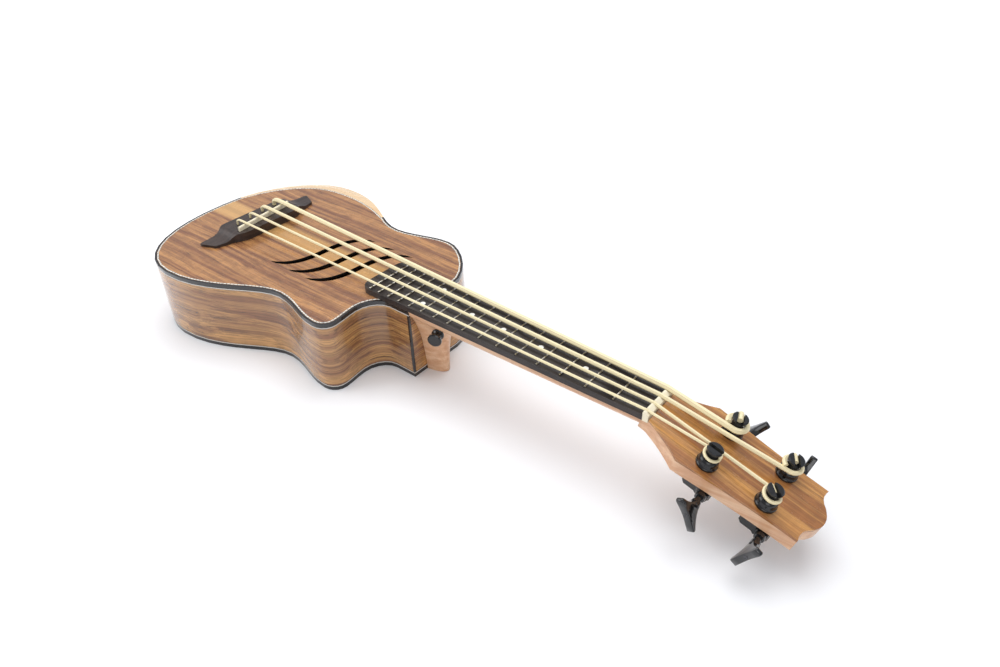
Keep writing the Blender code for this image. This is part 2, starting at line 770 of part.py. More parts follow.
def make_bridge(instrument):
    low = BODY_DEPTH + GAP
    high = BODY_DEPTH + BRIDGE_HEIGHT
    mesh = prism_mesh("bridge", [bridge_outline()] + hole_loops(), low, high)
    bridge = finish("bridge", mesh, instrument, LOOKS["ebony"])
    block = BRIDGE_BLOCK_HALF
    wing = BODY_DEPTH + WING_THICKNESS
    for side, name in ((-1, "treble"), (1, "bass")):
        fall = high - wing
        curve = bezier((block, high), (block + 0.005, high), (block + 0.008, wing), (block + 0.022, wing), 6)
        scoop = [(block, high + 0.004)] + curve
        scoop += [(block + 0.022, wing), (block + 0.06, wing - 0.0004), (block + 0.06, high + fall)]
        scoop = [(side * y, z) for y, z in scoop]
        mesh = across_mesh("scoop", scoop, 0.06)
        mesh.transform(Matrix.Translation((BRIDGE_BACK_AT, 0.0, 0.0)))
        if side < 0:
            mesh.flip_normals()
            shape = bmesh.new()
            shape.from_mesh(mesh)
            bmesh.ops.recalc_face_normals(shape, faces=shape.faces)
            shape.to_mesh(mesh)
            shape.free()
        combine(bridge, finish("scoop_" + name, mesh, instrument, None, tool=True), "DIFFERENCE")
    turn = math.atan2(SADDLE_TREBLE_AT - SADDLE_BASS_AT, SADDLE_SPREAD)
    half = 0.5 * SADDLE_LENGTH
    slot = box_mesh(
        "slot",
        (-0.5 * SADDLE_THICKNESS - GAP, -half - 0.0018, high - SADDLE_SLOT_DEPTH),
        (0.5 * SADDLE_THICKNESS + GAP, half + 0.0018, high + 0.01),
    )
    place = (saddle_x(0.0), 0.0, 0.0)
    cutter = finish("saddle_slot", slot, instrument, None, tool=True, place=place, turn=(0, 0, turn))
    combine(bridge, cutter, "DIFFERENCE")

    floor = high - SADDLE_SLOT_DEPTH + GAP
    crest = saddle_top()
    thick = 0.5 * SADDLE_THICKNESS
    arc = [
        (thick * math.cos(math.radians(a)), crest - thick + thick * math.sin(math.radians(a)))
        for a in range(0, 181, 30)
    ]
    mesh = upright_mesh("saddle", [(-thick, floor), (thick, floor)] + arc, half)
    finish("saddle", mesh, instrument, LOOKS["bone"], place=place, turn=(0, 0, turn))


def neck_to_instrument(point):
    """Carries a point of the neck frame into the instrument frame."""
    x, y, z = point
    cosine, sine = math.cos(PITCH), math.sin(PITCH)
    return (NUT_AT + x * cosine + z * sine, y, NUT_HEIGHT - x * sine + z * cosine)


def instrument_to_neck(point):
    x, y, z = point[0] - NUT_AT, point[1], point[2] - NUT_HEIGHT
    cosine, sine = math.cos(PITCH), math.sin(PITCH)
    return (x * cosine - z * sine, y, x * sine + z * cosine)


def head_to_neck(point):
    x, y, z = point
    cosine, sine = math.cos(TILT), math.sin(TILT)
    return (HEAD_START + x * cosine + z * sine, y, -HEAD_DROP - x * sine + z * cosine)


def neck_to_head(point):
    x, y, z = point[0] - HEAD_START, point[1], point[2] + HEAD_DROP
    cosine, sine = math.cos(TILT), math.sin(TILT)
    return (x * cosine - z * sine, y, x * sine + z * cosine)


def saddle_top():
    """Height of the saddle in the instrument frame, a gap below the strings."""
    return neck_to_instrument((-SCALE_LENGTH, 0.0, STRING_AT_SADDLE))[2] - GAP


# Neck, fretboard, nut and frets


def shaft_section(x, depth, points=13):
    """Rounded section of the neck under the fretboard."""
    half = board_half_width(max(-x, 0.0)) - 0.0002
    top = -BOARD_THICKNESS - GAP
    fall = depth + top
    ring = []
    for number in range(points):
        angle = math.pi * number / (points - 1)
        ring.append((x, half * math.cos(angle), top - fall * math.sin(angle) ** 0.92))
    return ring


def make_neck(instrument, neck_frame, head_frame):
    joint = -fret_distance(JOINT_FRET)
    heel_from = joint - 0.006
    sections = []
    for share in (0.0, 0.08, 0.16, 0.3, 0.5, 0.7, 0.9, 1.0):
        x = joint - 0.003 - share * (joint - 0.003)
        depth = NECK_DEPTH_AT_HEEL + share * (NECK_DEPTH_AT_NUT - NECK_DEPTH_AT_HEEL)
        sections.append(shaft_section(x, depth))
    for x, depth in ((0.006, 0.0200), (0.014, 0.0205), (0.020, 0.0208)):
        sections.append(shaft_section(x, depth))
    neck = finish("neck", loft_mesh("neck", sections), neck_frame, LOOKS["mahogany"])

    full = board_half_width(-joint) - 0.0006
    heel_slices = (
        (0.0064, full, 0.058), (0.0150, 0.0268, 0.052), (0.0235, 0.0228, 0.0435),
        (0.0310, 0.0202, 0.0365), (0.0390, 0.0178, 0.0310), (0.0480, 0.0160, 0.0280),
        (0.0620, 0.0140, 0.0262), (0.0780, 0.0124, 0.0256), (0.0960, 0.0112, 0.0252),
    )
    slices = []
    for depth, half, reach in heel_slices:
        ring = [
            (heel_from + (reach + 0.004) * math.sin(math.radians(a)), half * math.cos(math.radians(a)), -depth)
            for a in range(0, 181, 15)
        ]
        slices.append(ring)
    heel = finish("heel_form", loft_mesh("heel", slices), neck_frame, None, tool=True)
    combine(neck, heel, "UNION")

    core_outline = head_outline(-0.006)
    core = prism_mesh("core", [core_outline], -HEAD_THICKNESS, -VENEER_THICKNESS - GAP)
    combine(neck, finish("head_core", core, head_frame, None, tool=True), "UNION")

    seat = box_mesh(
        "seat", (-0.05, -0.05, -BOARD_THICKNESS - GAP), (NUT_THICKNESS + GAP, 0.05, 0.02)
    )
    combine(neck, finish("nut_seat", seat, neck_frame, None, tool=True), "DIFFERENCE")
    over = box_mesh("over", (-GAP, -0.06, -VENEER_THICKNESS - GAP), (0.2, 0.06, 0.03))
    combine(neck, finish("veneer_seat", over, head_frame, None, tool=True), "DIFFERENCE")
    face = box_mesh("face", (BODY_LENGTH - 0.08, -0.08, -0.08), (BODY_LENGTH + GAP, 0.08, 0.2))
    combine(neck, finish("body_face", face, instrument, None, tool=True), "DIFFERENCE")
    floor = box_mesh("floor", (BODY_LENGTH - 0.08, -0.08, -0.06), (BODY_LENGTH + 0.12, 0.08, 0.0))
    combine(neck, finish("heel_floor", floor, instrument, None, tool=True), "DIFFERENCE")
    for number, (u, v) in enumerate(POST_PLACES):
        mesh = cylinder_mesh("bore", FERRULE_SHANK_RADIUS + GAP, -0.03, 0.01, 14)
        place = (u, v, 0.0)
        cutter = finish("post_bore_%d" % (number + 1), mesh, head_frame, None, tool=True, place=place)
        combine(neck, cutter, "DIFFERENCE")
    return neck


def head_outline(start):
    """Outline of the headstock in the head frame, beginning at a place near the nut."""
    nut_half = 0.5 * NUT_WIDTH
    half = [(start, nut_half)]
    half += bezier(
        (0.002, nut_half + 0.0004), (0.016, nut_half + 0.0052), (0.026, HEAD_SHOULDER_HALF - 0.008),
        (HEAD_SHOULDER_AT - 0.002, HEAD_SHOULDER_HALF), 5,
    )
    half += bezier(
        (HEAD_SHOULDER_AT - 0.002, HEAD_SHOULDER_HALF), (HEAD_SHOULDER_AT + 0.004, HEAD_SHOULDER_HALF),
        (HEAD_TIP_AT - 0.05, HEAD_TIP_HALF), (HEAD_TIP_AT, HEAD_TIP_HALF), 7,
    )
    half += bezier(
        (HEAD_TIP_AT, HEAD_TIP_HALF), (HEAD_TIP_AT - 0.002, HEAD_TIP_HALF - 0.006),
        (HEAD_CUSP_AT - 0.006, HEAD_CUSP_HALF + 0.005), (HEAD_CUSP_AT, HEAD_CUSP_HALF), 5,
    )
    half += bezier(
        (HEAD_CUSP_AT, HEAD_CUSP_HALF), (HEAD_CUSP_AT + 0.003, HEAD_CUSP_HALF - 0.005),
        (HEAD_LENGTH, 0.006), (HEAD_LENGTH, 0.0), 4,
    )
    return half + [(HEAD_LENGTH, 0.0)] + mirrored(half)


def make_head_veneer(head_frame):
    bores = [circle(place, FERRULE_SHANK_RADIUS + GAP, 14) for place in POST_PLACES]
    mesh = prism_mesh("veneer", [head_outline(GAP)] + bores, -VENEER_THICKNESS, 0.0)
    finish("head_veneer", mesh, head_frame, LOOKS["koa"])


def make_fretboard(instrument, neck_frame):
    end = -BOARD_LENGTH
    half = board_half_width(BOARD_LENGTH)
    corner = BOARD_CORNER
    nut_half = 0.5 * NUT_WIDTH
    side = [(-GAP, -nut_half)]
    side += [(end + corner, -board_half_width(BOARD_LENGTH - corner))]
    side += bezier(
        (end + corner, -board_half_width(BOARD_LENGTH - corner)), (end + 0.4 * corner, -half),
        (end, -half + 0.4 * corner), (end, -half + corner), 4,
    )[1:]
    side.append((end, -half + corner))
    outline = side + [(x, -y) for x, y in reversed(side)]
    thick = BOARD_THICKNESS + 0.004
    board = finish(
        "fretboard", prism_mesh("board", [outline], -thick, 0.0), neck_frame, LOOKS["rosewood"]
    )
    under = box_mesh("under", (-fret_distance(JOINT_FRET), -0.05, -0.03), (0.02, 0.05, -BOARD_THICKNESS))
    combine(board, finish("under_board", under, neck_frame, None, tool=True), "DIFFERENCE")
    body = box_mesh("body", (0.1, -0.05, 0.05), (BODY_LENGTH + GAP, 0.05, BODY_DEPTH + GAP))
    combine(board, finish("over_top", body, instrument, None, tool=True), "DIFFERENCE")
    for number in range(1, FRET_COUNT + 1):
        distance = fret_distance(number)
        reach = board_half_width(distance) - FRET_INSET + GAP
        wide = 0.5 * FRET_TANG_WIDTH + GAP
        slot = box_mesh(
            "slot", (-distance - wide, -reach, -FRET_TANG_DEPTH - GAP), (-distance + wide, reach, 0.002)
        )
        combine(board, finish("fret_slot_%02d" % number, slot, neck_frame, None, tool=True), "DIFFERENCE")
        make_fret(neck_frame, number, distance, reach - GAP)


def make_fret(neck_frame, number, distance, reach):
    tang = 0.5 * FRET_TANG_WIDTH
    crown = 0.5 * FRET_CROWN_WIDTH
    outline = [(-tang, -FRET_TANG_DEPTH), (tang, -FRET_TANG_DEPTH), (tang, GAP)]
    for angle in range(0, 181, 36):
        turn = math.radians(angle)
        outline.append((crown * math.cos(turn), GAP + FRET_CROWN_HEIGHT * math.sin(turn)))
    outline.append((-tang, GAP))
    mesh = upright_mesh("fret", outline, reach)
    finish("fret_%02d" % number, mesh, neck_frame, LOOKS["nickel"], place=(-distance, 0.0, 0.0))


def make_nut(neck_frame):
    base = -BOARD_THICKNESS
    outline = [
        (0.0, base), (NUT_THICKNESS, base), (NUT_THICKNESS, NUT_BACK_TOP), (0.0022, NUT_TOP),
        (0.0006, NUT_TOP), (0.0, NUT_TOP - 0.0006),
    ]
    half = 0.5 * NUT_WIDTH + 0.0004
    nut = finish("nut", upright_mesh("nut", outline, half), neck_frame, LOOKS["bone"])
    floor = STRING_AT_NUT - GAP
    fall = math.tan(math.radians(11.0)) * (NUT_THICKNESS + 0.001)
    for number in range(4):
        y = string_share(number) * NUT_SPREAD
        wide = 0.5 * STRING_DIAMETERS[number] + GAP
        profile = [(-0.001, floor), (0.0015, floor), (NUT_THICKNESS + 0.0025, floor - fall),
                   (NUT_THICKNESS + 0.0025, 0.012), (-0.001, 0.012)]
        mesh = upright_mesh("slot", profile, wide)
        cutter = finish(
            "nut_slot_%d" % (number + 1), mesh, neck_frame, None, tool=True, place=(0.0, y, 0.0)
        )
        combine(nut, cutter, "DIFFERENCE")


# Strings


def string_route(number):
    """Centre line of a string in the neck frame, and how far its ends swell."""
    radius = 0.5 * STRING_DIAMETERS[number]
    share = string_share(number)
    hole_x, hole_y = string_holes()[number]
    y_saddle = share * SADDLE_SPREAD
    crest = (saddle_x(y_saddle), y_saddle, saddle_top() + GAP + radius)
    bridge_top = BODY_DEPTH + BRIDGE_HEIGHT
    knot_top = BODY_DEPTH - PLATE_THICKNESS - 2 * GAP - 0.0025 - 1.2 * GAP
    knot = radius * 1.7
    up = [(hole_x, hole_y, knot_top - 0.004), (hole_x, hole_y, knot_top - 0.0035),
          (hole_x, hole_y, knot_top - 0.0005), (hole_x, hole_y, knot_top)]
    swell = [0.6 * knot / radius, knot / radius, knot / radius, 1.0]
    nut_point = Vector((0.0012, share * NUT_SPREAD, STRING_AT_NUT + radius))
    crest_neck = Vector(instrument_to_neck(crest))
    along = (nut_point - crest_neck).normalized()
    start = instrument_to_neck((hole_x, hole_y, bridge_top + 0.0004))
    rise = Vector(instrument_to_neck((hole_x, hole_y, bridge_top + 0.0078)))
    points = [instrument_to_neck(place) for place in up]
    points += bezier(start, tuple(rise), tuple(crest_neck - 0.0088 * along), tuple(crest_neck), 7)
    swell += [1.0] * 7
    for part in range(6):
        points.append(tuple(crest_neck.lerp(nut_point, part / 6)))
        swell.append(1.0)
    points.append(tuple(nut_point))
    swell.append(1.0)
    winding = winding_points(number, nut_point, radius)
    points += winding
    swell += [1.0] * len(winding)
    return points, swell


def winding_points(number, nut_point, radius):
    """Loops of a string round its post: climbing turns, tangent to the stretch from the nut."""
    u, v = POST_PLACES[number]
    side = -1 if v < 0 else 1
    reach = WAIST_RADIUS + radius + 1.3 * GAP
    low = FERRULE_HEIGHT + radius + 2 * GAP
    high = CAP_UNDERSIDE - radius - 2 * GAP
    leave = Vector(neck_to_head(tuple(nut_point)))
    to_post = Vector((u - leave.x, v - leave.y))
    lean = math.asin(reach / to_post.length)
    heading = math.atan2(to_post.y, to_post.x)
    direction = heading - side * lean
    start_angle = direction - side * math.pi / 2
    turns = WINDING_TURNS[number]
    pitch = (high - low) / max(turns, 1.0)
    count = round(24 * turns)
    made = []
    for step in range(count + 1):
        swept = 2 * math.pi * turns * step / count
        angle = start_angle + side * swept
        height = low + pitch * swept / (2 * math.pi)
        made.append(head_to_neck((u + reach * math.cos(angle), v + reach * math.sin(angle), height)))
    return made


def least_self_gap(points, diameter):
    """Smallest free distance between stretches of a winding that aren't neighbours."""
    best = 1.0
    skip = 12
    for first in range(len(points)):
        for second in range(first + skip, len(points)):
            best = min(best, (Vector(points[first]) - Vector(points[second])).length)
    return best - diameter


def make_strings(neck_frame):
    for number in range(4):
        diameter = STRING_DIAMETERS[number]
        points, swell = string_route(number)
        mesh = tube_mesh("string", points, 0.5 * diameter, 1, swell)
        smooth(mesh, 60)
        finish("string_%d" % (number + 1), mesh, neck_frame, LOOKS["polymer"])
        wound = points[-round(24 * WINDING_TURNS[number]) - 1:]
        print("string %d least self-gap %.2f mm" % (number + 1, 1000 * least_self_gap(wound, diameter)))


# Tuners


def wheel_outline():
    """Toothed outline of the wheel on the foot of a post."""
    points = []
    for tooth in range(WHEEL_TEETH):
        middle = 2 * math.pi * tooth / WHEEL_TEETH
        for share, radius in ((-0.36, 0.88), (-0.18, 1.0), (0.18, 1.0), (0.36, 0.88)):
            angle = middle + share * 2 * math.pi / WHEEL_TEETH
            reach = WHEEL_RADIUS * radius
            points.append((reach * math.cos(angle), reach * math.sin(angle)))
    return points


def make_post(number, post_frame):
    wheel_top = -HEAD_THICKNESS - 0.0020
    wheel_low = wheel_top - WHEEL_THICKNESS
    profile = [
        (0.0, CAP_TOP), (CAP_RADIUS - 0.0010, CAP_TOP), (CAP_RADIUS, CAP_TOP - 0.0009),
        (CAP_RADIUS - 0.0003, CAP_UNDERSIDE + 0.0013), (WAIST_RADIUS + 0.0006, CAP_UNDERSIDE),
        (WAIST_RADIUS, CAP_UNDERSIDE - 0.0008), (WAIST_RADIUS, FERRULE_HEIGHT + GAP),
        (POST_RADIUS, FERRULE_HEIGHT + GAP), (POST_RADIUS, wheel_low + 0.001), (0.0, wheel_low + 0.001),
    ]
    post = turned("tuner_post_%d" % number, profile, post_frame, LOOKS["black_metal"], steps=20)
    wheel = prism_mesh("wheel", [wheel_outline()], wheel_low, wheel_top)
    combine(post, finish("wheel_form_%d" % number, wheel, post_frame, None, tool=True), "UNION")
    wide = 0.5 * STRING_DIAMETERS[number - 1] + 0.0003
    slot = box_mesh("slot", (-0.02, -wide, CAP_UNDERSIDE - 0.0015), (0.02, wide, CAP_TOP + 0.01))
    turn = (0, 0, math.radians(SLOT_ANGLES[number - 1]))
    cutter = finish("post_slot_%d" % number, slot, post_frame, None, tool=True, turn=turn)
    combine(post, cutter, "DIFFERENCE")


def make_ferrule(number, post_frame):
    bore = POST_RADIUS + GAP
    radius = FERRULE_RADIUS
    top = FERRULE_HEIGHT
    profile = [
        (bore, top), (radius - 0.0030, top), (radius - 0.0017, top - 0.0010), (radius - 0.0010, top - 0.0030),
        (radius - 0.0008, 0.0028), (radius, 0.0020), (radius, GAP), (FERRULE_SHANK_RADIUS, GAP),
        (FERRULE_SHANK_RADIUS, -FERRULE_SHANK_DEPTH), (bore, -FERRULE_SHANK_DEPTH),
    ]
    turned("tuner_ferrule_%d" % number, profile, post_frame, LOOKS["black_metal"], steps=20, closed=True)


def make_housing(number, post_frame, side, edge):
    """Case under the headstock: wheel room, worm room and an arm to the edge."""
    top = -HEAD_THICKNESS - GAP
    low = top - HOUSING_HEIGHT
    wall = HOUSING_WALL
    wheel_room = WHEEL_RADIUS + 0.0008
    worm_room = WORM_RADIUS + 1.5 * THREAD_RADIUS + 2 * GAP
    arm = HOUSING_ARM_HALF
    back = -wheel_room - wall
    front = WORM_OFFSET + worm_room + wall
    inner = wheel_room + wall
    outline = [
        (back + 0.003, inner), (front - 0.002, inner), (front, inner - 0.002), (front, -inner + 0.001),
        (WORM_OFFSET + arm, -inner - 0.001), (WORM_OFFSET + arm, -edge), (WORM_OFFSET - arm, -edge),
        (WORM_OFFSET - arm, -inner - 0.002), (WORM_OFFSET - arm - 0.003, -inner), (back + 0.003, -inner),
        (back, -inner + 0.003), (back, inner - 0.003),
    ]
    outline = [(x, -side * y) for x, y in outline]
    if side > 0:
        outline.reverse()
    name = "tuner_housing_%d" % number
    housing = finish(name, prism_mesh("housing", [outline], low, top), post_frame, LOOKS["black_metal"])
    wheel = cylinder_mesh("room", wheel_room, low + wall, top + 0.01, 20)
    combine(housing, finish("wheel_room_%d" % number, wheel, post_frame, None, tool=True), "DIFFERENCE")
    reach = WORM_HALF_LENGTH + 0.0012
    worm = box_mesh(
        "room", (WORM_OFFSET - worm_room, -reach, low + wall), (WORM_OFFSET + worm_room, reach, top + 0.01)
    )
    combine(housing, finish("worm_room_%d" % number, worm, post_frame, None, tool=True), "DIFFERENCE")
    bore = cylinder_mesh("bore", WORM_RADIUS + GAP, -WORM_HALF_LENGTH - 0.0020 - GAP, 0.05, 14)
    bore.transform(Matrix.Rotation(-side * math.pi / 2, 4, "X"))
    bore.transform(Matrix.Translation((WORM_OFFSET, 0.0, WORM_LEVEL)))
    combine(housing, finish("shaft_bore_%d" % number, bore, post_frame, None, tool=True), "DIFFERENCE")


def key_outline():
    """Key blade: a stem that spreads to two ears, in x across and y along the shaft."""
    half = 0.5 * KEY_SPAN
    ear = KEY_LENGTH - 0.0050
    side = bezier((0.0034, 0.0), (0.0040, 0.0045), (0.0080, ear - 0.0040), (half - 0.0010, ear), 6)
    side += bezier((half - 0.0010, ear), (half + 0.0008, ear + 0.0006), (half + 0.0008, ear + 0.0034),
                   (half - 0.0014, ear + 0.0044), 4)
    side += [(half - 0.0014, ear + 0.0044), (0.0090, KEY_LENGTH - 0.0013), (0.0040, KEY_LENGTH - 0.0020)]
    return side + [(0.0, KEY_LENGTH - 0.0022)] + [(-x, y) for x, y in reversed(side)]


def make_key(number, key_frame, side, stem):
    """Worm, shaft and key in one solid, turning on the key frame's z axis."""
    inner = -WORM_HALF_LENGTH - 0.0020
    profile = [
        (0.0, stem + 0.003), (WORM_RADIUS, stem + 0.003), (WORM_RADIUS, inner), (0.0, inner),
    ]
    key = turned("tuner_key_%d" % number, profile, key_frame, LOOKS["black_gloss"], steps=14)
    pitch = 2 * math.pi * WHEEL_RADIUS / WHEEL_TEETH
    turns = 2 * (WORM_HALF_LENGTH - THREAD_RADIUS) / pitch
    count = round(12 * turns)
    reach = WORM_RADIUS + 0.5 * THREAD_RADIUS
    thread = []
    for step in range(count + 1):
        angle = 2 * math.pi * turns * step / count
        height = -0.5 * turns * pitch + pitch * angle / (2 * math.pi)
        thread.append((reach * math.cos(angle), reach * math.sin(angle), height))
    mesh = tube_mesh("thread", thread, THREAD_RADIUS, 0)
    combine(key, finish("thread_form_%d" % number, mesh, key_frame, None, tool=True), "UNION")
    blade = upright_mesh("blade", [(x, stem + y) for x, y in key_outline()], 0.5 * KEY_THICKNESS)
    turn = (0, 0, -side * math.radians(KEY_ANGLES[number - 1]))
    form = finish("blade_form_%d" % number, blade, key_frame, None, tool=True, turn=turn)
    round_edges(form, 0.0012, 2, 50.0)
    combine(key, form, "UNION")
    collars = (("outer", 0.0040, stem - 0.0010, stem + 0.0035), ("inner", 0.0046, stem - 0.0095, stem - 0.0060))
    for name, radius, low, high in collars:
        form = "collar_%s_%d" % (name, number)
        collar = finish(form, cylinder_mesh("collar", radius, low, high, 16), key_frame, None, tool=True)
        combine(key, collar, "UNION")


def head_edge(u):
    """Half width of the headstock at a place along it."""
    half = [point for point in head_outline(0.0) if point[1] > 0 and point[0] <= HEAD_TIP_AT]
    for first, second in zip(half, half[1:]):
        if first[0] <= u <= second[0]:
            share = (u - first[0]) / (second[0] - first[0])
            return first[1] + share * (second[1] - first[1])
    return HEAD_TIP_HALF


def make_tuners(head_frame):
    for index, (u, v) in enumerate(POST_PLACES):
        number = index + 1
        side = -1 if v < 0 else 1
        edge = head_edge(u + WORM_OFFSET)
        post_frame = frame("post_axis_%d" % number, head_frame, (u, v, 0.0))
        key_place = (u + WORM_OFFSET, v, WORM_LEVEL)
        key_frame = frame("key_axis_%d" % number, head_frame, key_place, (-side * math.pi / 2, 0.0, 0.0))
        make_post(number, post_frame)
        make_ferrule(number, post_frame)
        make_housing(number, post_frame, side, edge - HOUSING_ARM_SHORT - abs(v))
        make_key(number, key_frame, side, edge + KEY_STEM_CLEAR - abs(v))


# Strap buttons


def make_button(name, parent, place, turn, shank):
    """A strap button with its screw shank, along the z axis of its own frame."""
    radius = BUTTON_RADIUS
    profile = [
        (0.0, BUTTON_LENGTH), (radius - 0.0012, BUTTON_LENGTH), (radius, BUTTON_LENGTH - 0.0010),
        (radius, BUTTON_LENGTH - 0.0026), (radius - 0.0032, BUTTON_LENGTH - 0.0052),
        (radius - 0.0032, 0.0036), (radius - 0.0008, 0.0016), (radius - 0.0008, GAP),
        (BUTTON_SHANK, GAP), (BUTTON_SHANK, -shank), (0.0, -shank),
    ]
    return turned(name, profile, parent, LOOKS["black_metal"], steps=20, place=place, turn=turn)


def bore_for_button(name, parent, place, turn, depth, targets):
    mesh = cylinder_mesh("bore", BUTTON_SHANK + GAP, -depth, 0.01, 12)
    cutter = finish(name, mesh, parent, None, tool=True, place=place, turn=turn)
    for target in targets:
        combine(target, cutter, "DIFFERENCE")


def make_buttons(instrument, neck_frame, neck):
    tail = (0.0, 0.0, END_PIN_HEIGHT)
    outwards = (0.0, -math.pi / 2, 0.0)
    make_button("end_pin", instrument, tail, outwards, 0.016)
    walls = (ribs["treble"], ribs["bass"], blocks["tail_block"])
    bore_for_button("end_pin_bore", instrument, tail, outwards, 0.017, walls)
    joint = -fret_distance(JOINT_FRET)
    heel = (joint + HEEL_BUTTON_BACK, -HEEL_BUTTON_SEAT, -HEEL_BUTTON_DROP)
    turn = (math.pi / 2, 0.0, math.radians(HEEL_BUTTON_TURN))
    make_button("strap_button", neck_frame, heel, turn, 0.012)
    bore_for_button("strap_button_bore", neck_frame, heel, turn, 0.013, (neck,))
    pad = cylinder_mesh("pad", BUTTON_RADIUS + 0.0002, 0.0, 0.01, 20)
    cutter = finish("strap_button_pad", pad, neck_frame, None, tool=True, place=heel, turn=turn)
    combine(neck, cutter, "DIFFERENCE")


def main():
    outline, ranges = body_outline()
    tail_end = -BUTTON_LENGTH
    crown = neck_to_instrument(head_to_neck((HEAD_LENGTH, 0.0, 0.0)))[0]
    shift = -0.5 * (tail_end + crown)
    instrument = frame("instrument", None, (shift, 0.0, 0.0))
    neck_frame = frame("neck_frame", instrument, (NUT_AT, 0.0, NUT_HEIGHT), (0.0, PITCH, 0.0))
    head_frame = frame("head_frame", neck_frame, (HEAD_START, 0.0, -HEAD_DROP), (0.0, TILT, 0.0))
    bpy.context.view_layer.update()
    make_body(instrument, outline, ranges)
    make_bridge(instrument)
    neck = make_neck(instrument, neck_frame, head_frame)
    make_head_veneer(head_frame)
    make_fretboard(instrument, neck_frame)
    make_nut(neck_frame)
    make_strings(neck_frame)
    make_tuners(head_frame)
    make_buttons(instrument, neck_frame, neck)
    bpy.context.view_layer.update()


clear_scene()
parts = new_collection("bass_ukulele")
tools = new_collection("shaping_tools")
ribs = {}
blocks = {}
LOOKS = {
    "koa": material("figured_tonewood", (0.36, 0.20, 0.10), 0.45),
    "maple": material("pale_armrest_wood", (0.80, 0.62, 0.42), 0.45),
    "binding": material("black_binding", (0.02, 0.02, 0.022), 0.30),
    "spruce": material("lining_and_brace_wood", (0.72, 0.55, 0.34), 0.65),
    "mahogany": material("neck_wood", (0.55, 0.27, 0.13), 0.50),
    "ebony": material("bridge_wood", (0.06, 0.045, 0.04), 0.45),
    "rosewood": material("fretboard_wood", (0.05, 0.035, 0.03), 0.50),
    "nickel": material("fret_metal", (0.75, 0.72, 0.68), 0.30, 1.0),
    "bone": material("bone", (0.88, 0.82, 0.66), 0.40),
    "polymer": material("string_polymer", (0.92, 0.87, 0.68), 0.45),
    "black_metal": material("black_plated_metal", (0.02, 0.02, 0.02), 0.30, 0.6),
    "black_gloss": material("black_key_metal", (0.02, 0.02, 0.02), 0.20, 0.6),
}
main()
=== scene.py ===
"""Bass ukulele in figured tonewood: finishes, fine trim, soft light and the photograph's view.

Everything is in metres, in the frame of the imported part: +X runs from the tail to the headstock,
+Y is the bass side and +Z comes out of the top.
"""
import json
import math

import bmesh
import bpy
from mathutils import Matrix, Vector


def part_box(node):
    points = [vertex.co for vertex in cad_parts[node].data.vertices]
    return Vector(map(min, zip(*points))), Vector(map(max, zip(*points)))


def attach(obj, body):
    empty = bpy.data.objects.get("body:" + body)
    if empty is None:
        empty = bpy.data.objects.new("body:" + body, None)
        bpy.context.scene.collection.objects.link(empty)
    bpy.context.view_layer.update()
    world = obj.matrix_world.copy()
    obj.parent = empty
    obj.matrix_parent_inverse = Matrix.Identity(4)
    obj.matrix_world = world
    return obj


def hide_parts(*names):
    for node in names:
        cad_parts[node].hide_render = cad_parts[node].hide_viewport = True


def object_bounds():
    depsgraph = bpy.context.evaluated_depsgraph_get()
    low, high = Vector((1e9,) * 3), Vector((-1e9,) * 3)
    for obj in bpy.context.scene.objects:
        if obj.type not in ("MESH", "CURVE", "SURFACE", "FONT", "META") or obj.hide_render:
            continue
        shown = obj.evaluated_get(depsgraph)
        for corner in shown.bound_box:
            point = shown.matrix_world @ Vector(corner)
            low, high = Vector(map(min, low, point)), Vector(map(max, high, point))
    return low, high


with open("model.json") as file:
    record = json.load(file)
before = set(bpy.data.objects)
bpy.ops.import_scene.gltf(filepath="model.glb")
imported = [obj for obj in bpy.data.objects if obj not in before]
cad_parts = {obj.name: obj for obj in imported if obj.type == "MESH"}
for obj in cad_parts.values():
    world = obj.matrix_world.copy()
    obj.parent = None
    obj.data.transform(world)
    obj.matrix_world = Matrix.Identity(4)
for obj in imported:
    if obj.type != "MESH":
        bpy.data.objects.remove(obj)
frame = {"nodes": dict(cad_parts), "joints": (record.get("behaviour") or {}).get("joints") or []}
size_at_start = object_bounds()

# Counts and sizes of the instrument that the trim follows

INSTRUMENT = "instrument"
SCALE_LENGTH = 0.540
FRETS = 16
STRINGS = 4
HEAD_SLOPE = math.radians(15.7)

# Sizes of the trim

PURFLING_SETBACK = 0.0004
PURFLING_WIDTH = 0.0014
PURFLING_RAISE = 0.00012
DASH_LENGTH = 0.0042
DASH_SHARE = 0.86
LINE_WIDTH = 0.0011
DOT_FRETS = (3, 5, 7, 9)
DOUBLE_DOT_FRET = 12
DOUBLE_DOT_SPREAD = 0.016
DOT_RADIUS = 0.0028
DOT_RAISE = 0.00012
DOT_SIDES = 32

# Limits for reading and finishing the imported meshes

WELD_DISTANCE = 0.000002
FLAT_ANGLE = math.radians(0.5)
SHARP_ANGLE = math.radians(32)
EDGE_STEEPNESS = 0.5
LEVEL_NORMAL = 0.9
TOP_FACE_DEPTH = 0.0001
BOARD_END_STRETCH = 0.02

# The photograph's camera, solved from the fret ends

CAMERA_PLACE = (0.4751, -0.4746, 0.5309)
CAMERA_TURN = (54.185, 1.501, 39.192)
CAMERA_LENS = 28.083
CAMERA_SENSOR = 36.0
CAMERA_CLIP_START = 0.01

# Shader helpers

COLOUR, FLOAT, VECTOR = "NodeSocketColor", "NodeSocketFloat", "NodeSocketVector"
MIX_FACTOR, MIX_FIRST, MIX_SECOND, MIX_RESULT = 0, 6, 7, 2
BLACK, WHITE = (0.0, 0.0, 0.0), (1.0, 1.0, 1.0)
ORIGIN = (0.0, 0.0, 0.0)


def opaque(colour):
    return (*colour, 1.0)


def grey(level):
    return (level, level, level)


